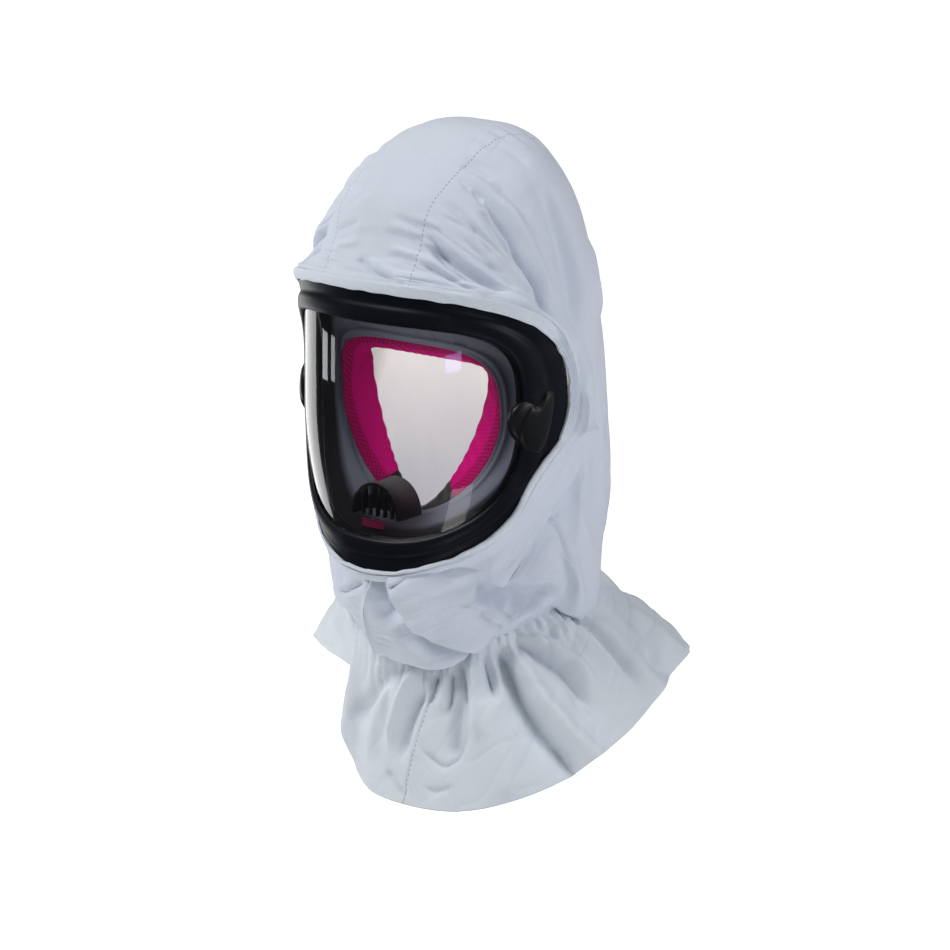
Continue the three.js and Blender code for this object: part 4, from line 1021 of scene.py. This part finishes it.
def cloth_finish(name, light, dark, bump, crinkle, stitched=False):
    """White spunbonded cloth: colour between two whites by the tint, fibre and crinkle in the bump, and a
    row of stitches beside the seam, painted dark as the shade of their needle holes, whose distance and
    length are the piece's own UV."""
    finish, tree, shader = new_finish(name, light, CLOTH_ROUGHNESS)
    fibre = add_group(tree, nonwoven_fibre, Crinkle=crinkle)
    tint = colour_mix(tree, A=dark, B=light)
    stretch = map_range(tree, CLOTH_TINT)
    sewn = colour_mix(tree, B=STITCH_SHADE_COLOUR)
    sewn.inputs["Factor"].default_value = 0
    relief = add_node(tree, "ShaderNodeBump", Strength=bump, Distance=CLOTH_DEPTH)
    wire(
        tree,
        (fibre, "Tint", stretch, "Value"),
        (stretch, "Result", tint, "Factor"),
        (fibre, "Roughness", shader, "Roughness"),
        (tint, "Result", sewn, "A"),
        (sewn, "Result", shader, "Base Color"),
        (fibre, "Height", relief, "Height"),
        (relief, "Normal", shader, "Normal"),
    )
    # Stitch dashes painted dark: painted shade of the needle holes
    if stitched:
        axes = own_lay(tree)[1]
        across, along = axes.outputs["X"], axes.outputs["Y"]
        steps = (("SUBTRACT", STITCH_INSET * MM), ("ABSOLUTE", 0), ("LESS_THAN", STITCH_WIDTH / 2 * MM))
        for operation, value in steps:
            across = math_step(tree, operation, across, value)
        for operation, value in (("DIVIDE", STITCH_PITCH * MM), ("FRACT", 0), ("LESS_THAN", STITCH_SHARE)):
            along = math_step(tree, operation, along, value)
        tree.links.new(math_step(tree, "MULTIPLY", across, along), sewn.inputs["Factor"])
    return finish


hood_white = cloth_finish("hood_white", (0.725, 0.772, 0.86), (0.675, 0.722, 0.81), 0.32, 95.0, True)
EDGE_ROWS, EDGE_SHARE, HOOD_ROWS = 50, 0.07, 250
SIDE_COLUMNS, STRIP_COLUMNS, SEAM_SWEEP = 300, 90, 240
THROAT_GAP = 0.002
# Below the ears the cloth counts as this far from the middle, clear of the crown seams
UNSEWN = 90


def seam_angle(t):
    """The angle round each hoop at which it is the strip's half-width from the middle plane."""
    sweep = np.linspace(0, np.pi / 2, SEAM_SWEEP)
    s, share = np.meshgrid(sweep, t)
    x = hood_base(s, share)[..., 0]
    return np.array([np.interp(CROWN_STRIP_HALF, row, sweep) for row in x])


edge_t = np.linspace(0, EDGE_SHARE, EDGE_ROWS, endpoint=False)
hood_t = np.concatenate([edge_t, np.linspace(EDGE_SHARE, 1, HOOD_ROWS)])
hood_seam = seam_angle(hood_t)[:, None]
strip_sigma = hood_seam * np.linspace(-1, 1, STRIP_COLUMNS)
side_sigma = hood_seam + (np.pi - THROAT_GAP - hood_seam) * np.linspace(0, 1, SIDE_COLUMNS)
seam_line = hood_base(hood_seam[:, 0], hood_t)
seam_run = np.concatenate([[0], np.cumsum(np.linalg.norm(np.diff(seam_line, axis=0), axis=-1))])
for name, node, sigma in (
    ("crown_strip", "hood_crown", strip_sigma),
    ("side_panel_left", "hood_side_left", side_sigma),
    ("side_panel_right", "hood_side_right", -side_sigma[:, ::-1]),
):
    share = hood_t[:, None] + 0 * sigma
    inset = CROWN_STRIP_HALF - np.where(np.cos(sigma) > 0, np.abs(hood_base(sigma, share)[..., 0]), UNSEWN)
    sewn = np.stack([inset, seam_run[:, None] + 0 * sigma], -1)
    cloth = hood_cloth(sigma, share)
    faces = grid_faces(*sigma.shape)
    make_piece(name, cloth, faces, hood_white, [node], uv=sewn)


# Face hem
# The hood's edge turned into a narrow casing with elastic inside, drawn over the outer lobe of the rim:
# a flat band over the brow, pleated tightest at the corners and thin under the chin.
HEM_SECTIONS = np.array(
    [
        [(0, 4.5), (0, 5.2), (0.06, 5.9), (0.25, 6.6), (0.5, 7.1), (0.72, 7.4), (0.84, 7.2)]
        + [(0.88, 6.6), (0.88, 5.6), (0.9, 4.8), (1.15, 4.4), (1.1, 3.8), (0.6, 3.9), (0.1, 4.1)],
        [(0, 3.6), (0, 5.4), (0.08, 6.0), (0.16, 4.2), (0.26, 6.3), (0.38, 4.2), (0.48, 6.6)]
        + [(0.58, 4.3), (0.7, 6.6), (0.8, 4.6), (1.15, 4.4), (1.1, 3.6), (0.6, 3.3), (0.1, 3.3)],
        [(0, 3.8), (0, 5.0), (0.06, 5.7), (0.16, 6.2), (0.28, 6.4), (0.4, 6.3), (0.48, 5.9)]
        + [(0.54, 5.4), (0.6, 5.1), (0.8, 4.8), (1.05, 4.4), (1.0, 3.6), (0.6, 3.4), (0.1, 3.4)],
        [(0, 4.5), (0, 5.0), (0.04, 5.4), (0.08, 5.7), (0.15, 5.9), (0.22, 5.8), (0.27, 5.4)]
        + [(0.3, 4.9), (0.32, 4.4), (0.36, 4.0), (0.9, 3.8), (0.9, 3.4), (0.5, 3.6), (0.1, 4.0)],
    ]
)
# Which section at which angle from the top: brow, corner, cheek, chin
HEM_ANGLES, HEM_PLACES = (0, 46, 60, 88, 102, 132, 150, 180), (0, 0, 1, 1, 2, 2, 3, 3)
HEM_STEPS, HEM_FINE = 900, 3
HEM_TIGHT = 0.2, [(0.9, 66, 20), (0.8, 146, 12)]
HEM_WAVE, HEM_WAVE_SEED = 0.7, 41
HEM_TOP_FROM, HEM_TOP_EASE = 4.8, 1.5
HEM_CRUMPLE, HEM_CRUMPLE_ROUND, HEM_CRUMPLE_SLANT, HEM_CRUMPLE_ACROSS, HEM_CRUMPLE_SEED = 0.5, 26, 3, 2, 47
HEM_EDGE, HEM_EDGE_ROUND, HEM_EDGE_TO, HEM_EDGE_EASE, HEM_EDGE_SEED = 0.07, 16, 0.4, 0.3, 43
hem_white = cloth_finish("hem_white", (0.75, 0.80, 0.875), (0.69, 0.745, 0.82), 0.2, 120.0)
hem_turn = np.linspace(-np.pi, np.pi, HEM_STEPS, endpoint=False)[:, None]
hem_deg = np.degrees(np.abs(hem_turn))
hem_rounded = np.stack([rounded_section(section, HEM_FINE) for section in HEM_SECTIONS])
hem_place = np.interp(hem_deg[:, 0], HEM_ANGLES, HEM_PLACES)
hem_low = np.minimum(hem_place.astype(int), len(HEM_SECTIONS) - 2)
hem_mix = smooth(hem_place - hem_low)[:, None, None]
hem_curve = hem_rounded[hem_low] * (1 - hem_mix) + hem_rounded[hem_low + 1] * hem_mix
hem_share, hem_lift = hem_curve[..., 0], hem_curve[..., 1]
hem_top = smooth((hem_lift - HEM_TOP_FROM) / HEM_TOP_EASE)
hem_wave = tightness(hem_deg, *HEM_TIGHT) * pleats(hem_turn, HEM_PLEATS, HEM_WAVE_SEED)
hem_along = hem_turn * HEM_CRUMPLE_ROUND + HEM_CRUMPLE_SLANT * hem_share
hem_wave = hem_wave + HEM_CRUMPLE * crumple(hem_along, hem_share * HEM_CRUMPLE_ACROSS, HEM_CRUMPLE_SEED)
hem_uneven = HEM_EDGE * crumple(hem_turn * HEM_EDGE_ROUND, hem_turn * 0, HEM_EDGE_SEED)
hem_points = between_loops(
    HEM_INNER,
    HEM_OUTER,
    hem_turn + 0 * hem_share,
    hem_share + hem_uneven * smooth((HEM_EDGE_TO - hem_share) / HEM_EDGE_EASE),
    hem_lift + HEM_WAVE * hem_wave * hem_top,
)
hem_faces = grid_faces(*hem_points.shape[:2], True, True)
hem = make_piece("face_hem_casing", hem_points, hem_faces, hem_white, ["face_hem"])


# Cape
# Two halves of the same cloth sewn to the neck of the hood and to each other down the front and back,
# gathered at the neck and spreading into loose folds over the shoulders.
CAPE_SEAM_NECK, CAPE_SEAM_HEM = 30.5, 18.5
# The hem: bearing from the front, reach from the middle and height
CAPE_HEM = np.array(
    [
        (-180, 146, -385.5),
        (-150, 150, -387.5),
        (-115, 146, -382.5),
        (-90, 128, -369),
        (-70, 94, -366.5),
        (-50, 72, -368.5),
        (-36, 72, -378.5),
        (-25, 90, -398.5),
        (-14, 89, -420.5),
        (0, 100, -429.5),
        (17, 113, -430.5),
        (38, 122, -431),
        (60, 135, -417),
        (90, 141, -388),
        (112, 150, -359.5),
        (128, 156, -354.5),
        (152, 149, -375.5),
        (180, 146, -385.5),
    ]
)
# Folds as on the hood, with bearings from the front and shares from the neck to the hem
CAPE_FOLDS = [
    ([(17, 0.055), (14, 0.175), (11.5, 0.305), (10, 0.485), (8.5, 0.68)], 4, 7.8, 0, 1.5),
    ([(23.5, 0.165), (18.5, 0.33), (15.5, 0.505), (14.5, 0.75)], 4, -7.8, 0, 1.6),
    ([(5, 0.06), (-3.5, 0.295), (-13, 0.58), (-20, 0.815)], 6, -6.5, 0, 1.8),
    ([(5, 0.115), (1, 0.37), (-2.5, 0.62), (0.5, 0.82)], 8, 4.4, 0, 2),
    ([(8, 0.81), (13.5, 0.845), (18, 0.92)], 3, -3.7, 0, 1.5),
    ([(27.5, 0.1), (26, 0.22), (24, 0.35)], 2, -6.5, 0, 1.3),
    ([(30.5, 0.1), (30.5, 0.24), (29.5, 0.38)], 3, 4.4, 0, 2),
    ([(33.5, 0.095), (33.5, 0.22), (32.5, 0.395)], 2, -6.5, 0, 1.3),
    ([(38, 0.075), (39.5, 0.225), (40.5, 0.395)], 2.2, -6.5, 0, 1.3),
    ([(41.5, 0.06), (42.5, 0.25), (43, 0.435), (44, 0.62)], 5, 7.8, 0, 2),
    ([(47, 0.04), (48.5, 0.19), (51, 0.4)], 2.2, -6.5, 0, 1.3),
    ([(52, 0.05), (53.5, 0.245), (55, 0.46)], 3, 4.4, 0, 2),
    ([(38.5, 0.26), (38.5, 0.415), (37, 0.57), (34.5, 0.715)], 6, -6.5, 0, 1.8),
    ([(18.5, 0.535), (25, 0.65), (32.5, 0.73), (37, 0.685), (40, 0.55), (41.5, 0.465)], 2, -2.9, 0, 1.2),
    ([(25, 0.865), (30, 0.885), (36, 0.845)], 2.4, -2.6, 0, 1.4),
    ([(48, 0.24), (50, 0.56), (52.5, 0.9)], 12, 6.5, 0, 2),
    ([(56.5, 0.065), (59, 0.285), (62.5, 0.515), (67.5, 0.745), (73, 1)], 6, -16.9, -0.5, 1.6),
    ([(59.5, 0.1), (63.5, 0.29), (68, 0.54), (72.5, 0.745), (77.5, 0.985)], 7, 10.4, 0, 2),
    ([(62, 0.03), (71, 0.22), (78, 0.405), (81, 0.6), (82.5, 0.785)], 5, -9.1, -0.4, 1.5),
    ([(65, 0), (75, 0.2), (83.5, 0.43), (87, 0.685)], 5, 7.8, 0, 2),
    ([(78, 0.55), (79, 0.7), (81.5, 0.81)], 2.4, -2.9, 0, 1.4),
    ([(94, 0.06), (95.5, 0.275), (97, 0.49), (98, 0.68), (98, 0.89)], 2.4, -5, 0, 1.4),
    ([(99, 0.18), (100, 0.43), (101.5, 0.69), (102.5, 0.95)], 8, 6.5, 0, 2),
    ([(115, 0.325), (115, 0.6), (116, 0.825), (118, 0.995)], 9, 4.4, 0, 2),
    ([(105, 0.74), (107.5, 0.905), (111, 1)], 7, -5, 0, 1.7),
    ([(68, 0), (76, 0.075), (82, 0.235)], 2.4, -4.4, 0, 1.4),
    ([(74, 0), (83, 0.085), (89.5, 0.27)], 3, 4.4, 0, 2),
    ([(110.5, 0.295), (109.5, 0.51), (109, 0.69)], 2.4, -2.6, 0, 1.3),
    ([(138, 0.1), (142, 0.5), (146, 1.1)], 14, -8, 0, 2),
    ([(156, 0.1), (159, 0.5), (162, 1.1)], 14, 8, 0, 2),
    ([(-158, 0.1), (-159, 0.5), (-160, 1.1)], 14, -7, 0, 2),
    ([(-138, 0.1), (-140, 0.5), (-141, 1.1)], 14, 7, 0, 2),
    ([(-118, 0.1), (-120, 0.5), (-122, 1.1)], 14, -8, 0, 2),
    ([(-98, 0.1), (-101, 0.5), (-104, 1.1)], 14, 7, 0, 2),
    ([(-80, 0.1), (-82, 0.4), (-84, 0.8)], 11, -4, 0, 2),
    ([(-62, 0.1), (-64, 0.4), (-66, 0.8)], 10, 4, 0, 2),
    ([(-30, 0.1), (-32, 0.5), (-34, 1.1)], 8, -4, 0, 2),
]
CAPE_BULGE = 6
CAPE_DROP_FRONT, CAPE_DROP_BACK = 3.0, 1.5
CAPE_ROWS, CAPE_COLUMNS = 110, 250
CAPE_TUCK = 0.07
CAPE_SEAM_GAP = 0.0003
# Radius at the neck, its growth to the hem for the noise and for the seam, and the fall, to scale both
CAPE_RADIUS, CAPE_SPREAD, CAPE_SEAM_SPREAD, CAPE_FALL = 80, 60, 35, 100
CAPE_MEET, CAPE_LOOSE, CAPE_TANGENT = 0.15, 0.15, 0.01
CAPE_GATHER_HEIGHT, CAPE_GATHER_REACH = 3.2, 0.55
# Noise, with the columns of the hood's
CAPE_SLACK = [(1.5, 0, 34, 0, 0, 60, 51), (0.7, 0, 15, 0, 0, 26, 55)]
CAPE_CREASE = (-0.6, 0.16, 19, 0, 1 / 50, 27, 61)
CAPE_SEAM_RIDGE, CAPE_SEAM_RIDGE_WIDTH = 0.6, 3
CAPE_SEAM_GROOVE, CAPE_SEAM_GROOVE_WIDTH = 0.5, 0.9


def cape_hem(bearing):
    """Reach and height of the hem at a bearing: the spline through the table's rows."""
    deg = np.degrees(bearing)
    last = len(CAPE_HEM) - 1
    i = np.clip(np.searchsorted(CAPE_HEM[:, 0], deg, side="left") - 1, 0, last - 1)
    f = (deg - CAPE_HEM[i, 0]) / (CAPE_HEM[i + 1, 0] - CAPE_HEM[i, 0])
    rows = [CAPE_HEM[last - np.abs(last - np.abs(i + k)), 1:] for k in (-1, 0, 1, 2)]
    spline = through(*rows, f[..., None])
    return spline[..., 0], spline[..., 1]


def cape_base(bearing, v):
    """A straight fall from the neck to the hem, bulged over the shoulders at the back."""
    neck = hoop_point(HOOPS[-1], np.pi - bearing)
    neck[..., 2] += neck_lift(np.pi - bearing)
    reach, z = cape_hem(bearing)
    hem_point = np.stack([reach * np.sin(bearing), -reach * np.cos(bearing), z], -1)
    p = neck + (hem_point - neck) * v[..., None]
    rear = (1 - np.cos(bearing)) / 2
    drop = CAPE_DROP_FRONT + (CAPE_DROP_BACK - CAPE_DROP_FRONT) * rear
    p[..., 2] += 8 * CAPE_BULGE * rear * v * (1 - v) - drop
    return p


def cape_seam(v):
    """Bearing of the front seam, easing from the neck's place to the hem's."""
    return np.radians(CAPE_SEAM_HEM + (CAPE_SEAM_NECK - CAPE_SEAM_HEM) * (1 - np.clip(v, 0, 1)) ** 2)


def cape_cloth(bearing, v):
    """The cape's surface: the fall, its folds, gathers dying away from the neck, slackness and crumples
    along the normal, and the groove of the front seam."""
    p = cape_base(bearing, v)
    around = cape_base(bearing + CAPE_TANGENT, v) - cape_base(bearing - CAPE_TANGENT, v)
    n = unit(np.cross(cape_base(bearing, v + CAPE_TANGENT) - cape_base(bearing, v - CAPE_TANGENT), around))
    a, b = bearing * (CAPE_RADIUS + CAPE_SPREAD * v), v * CAPE_FALL
    meet = smooth((np.pi - np.abs(bearing)) / CAPE_MEET)
    loose = smooth(v / CAPE_LOOSE)
    height = loose * fold_height(p, n, CAPE_FOLDS, cape_base)[0]
    gathers = smooth((CAPE_GATHER_REACH - v) / CAPE_GATHER_REACH)
    gathers = gathers * pleats(np.pi - bearing, NECK_GATHERS, NECK_GATHER_SEED)
    height += meet * CAPE_GATHER_HEIGHT * gathers
    height += meet * loose * sum(ripple(a, b, row) for row in CAPE_SLACK)
    height += meet * loose * ripple(a, b, CAPE_CREASE)
    seam = (bearing - cape_seam(v)) * (CAPE_RADIUS + CAPE_SEAM_SPREAD * v)
    height += CAPE_SEAM_RIDGE * bell(seam, CAPE_SEAM_RIDGE_WIDTH)
    height -= CAPE_SEAM_GROOVE * bell(seam, CAPE_SEAM_GROOVE_WIDTH)
    return p + n * height[..., None]


# The hood's cloth in a lighter copy: the extra lightness is painted light, for the cape's brighter lighting
cape_white_painted_light = cloth_finish("cape_white_painted_light", (0.8, 0.845, 0.9), (0.745, 0.79, 0.85), 0.32, 85.0, True)
cape_v, cape_u = np.meshgrid(
    np.linspace(-CAPE_TUCK, 1, CAPE_ROWS), np.linspace(0, 1, CAPE_COLUMNS), indexing="ij"
)
for side, word in ((1, "left"), (-1, "right")):
    cape_from = cape_seam(cape_v) + side * CAPE_SEAM_GAP
    cape_turn = cape_from + (side * (np.pi - CAPE_SEAM_GAP) - cape_from) * cape_u
    cape_inset = (cape_turn - cape_from) * (CAPE_RADIUS + CAPE_SEAM_SPREAD * cape_v)
    cape = make_piece(
        f"cape_cloth_{word}",
        cape_cloth(cape_turn, cape_v),
        grid_faces(CAPE_ROWS, CAPE_COLUMNS, flip=side > 0),
        cape_white_painted_light,
        [f"cape_{word}"],
        uv=np.stack([cape_inset, CAPE_FALL * cape_v], -1),
    )
    give_wall(cape, CLOTH_WALL)
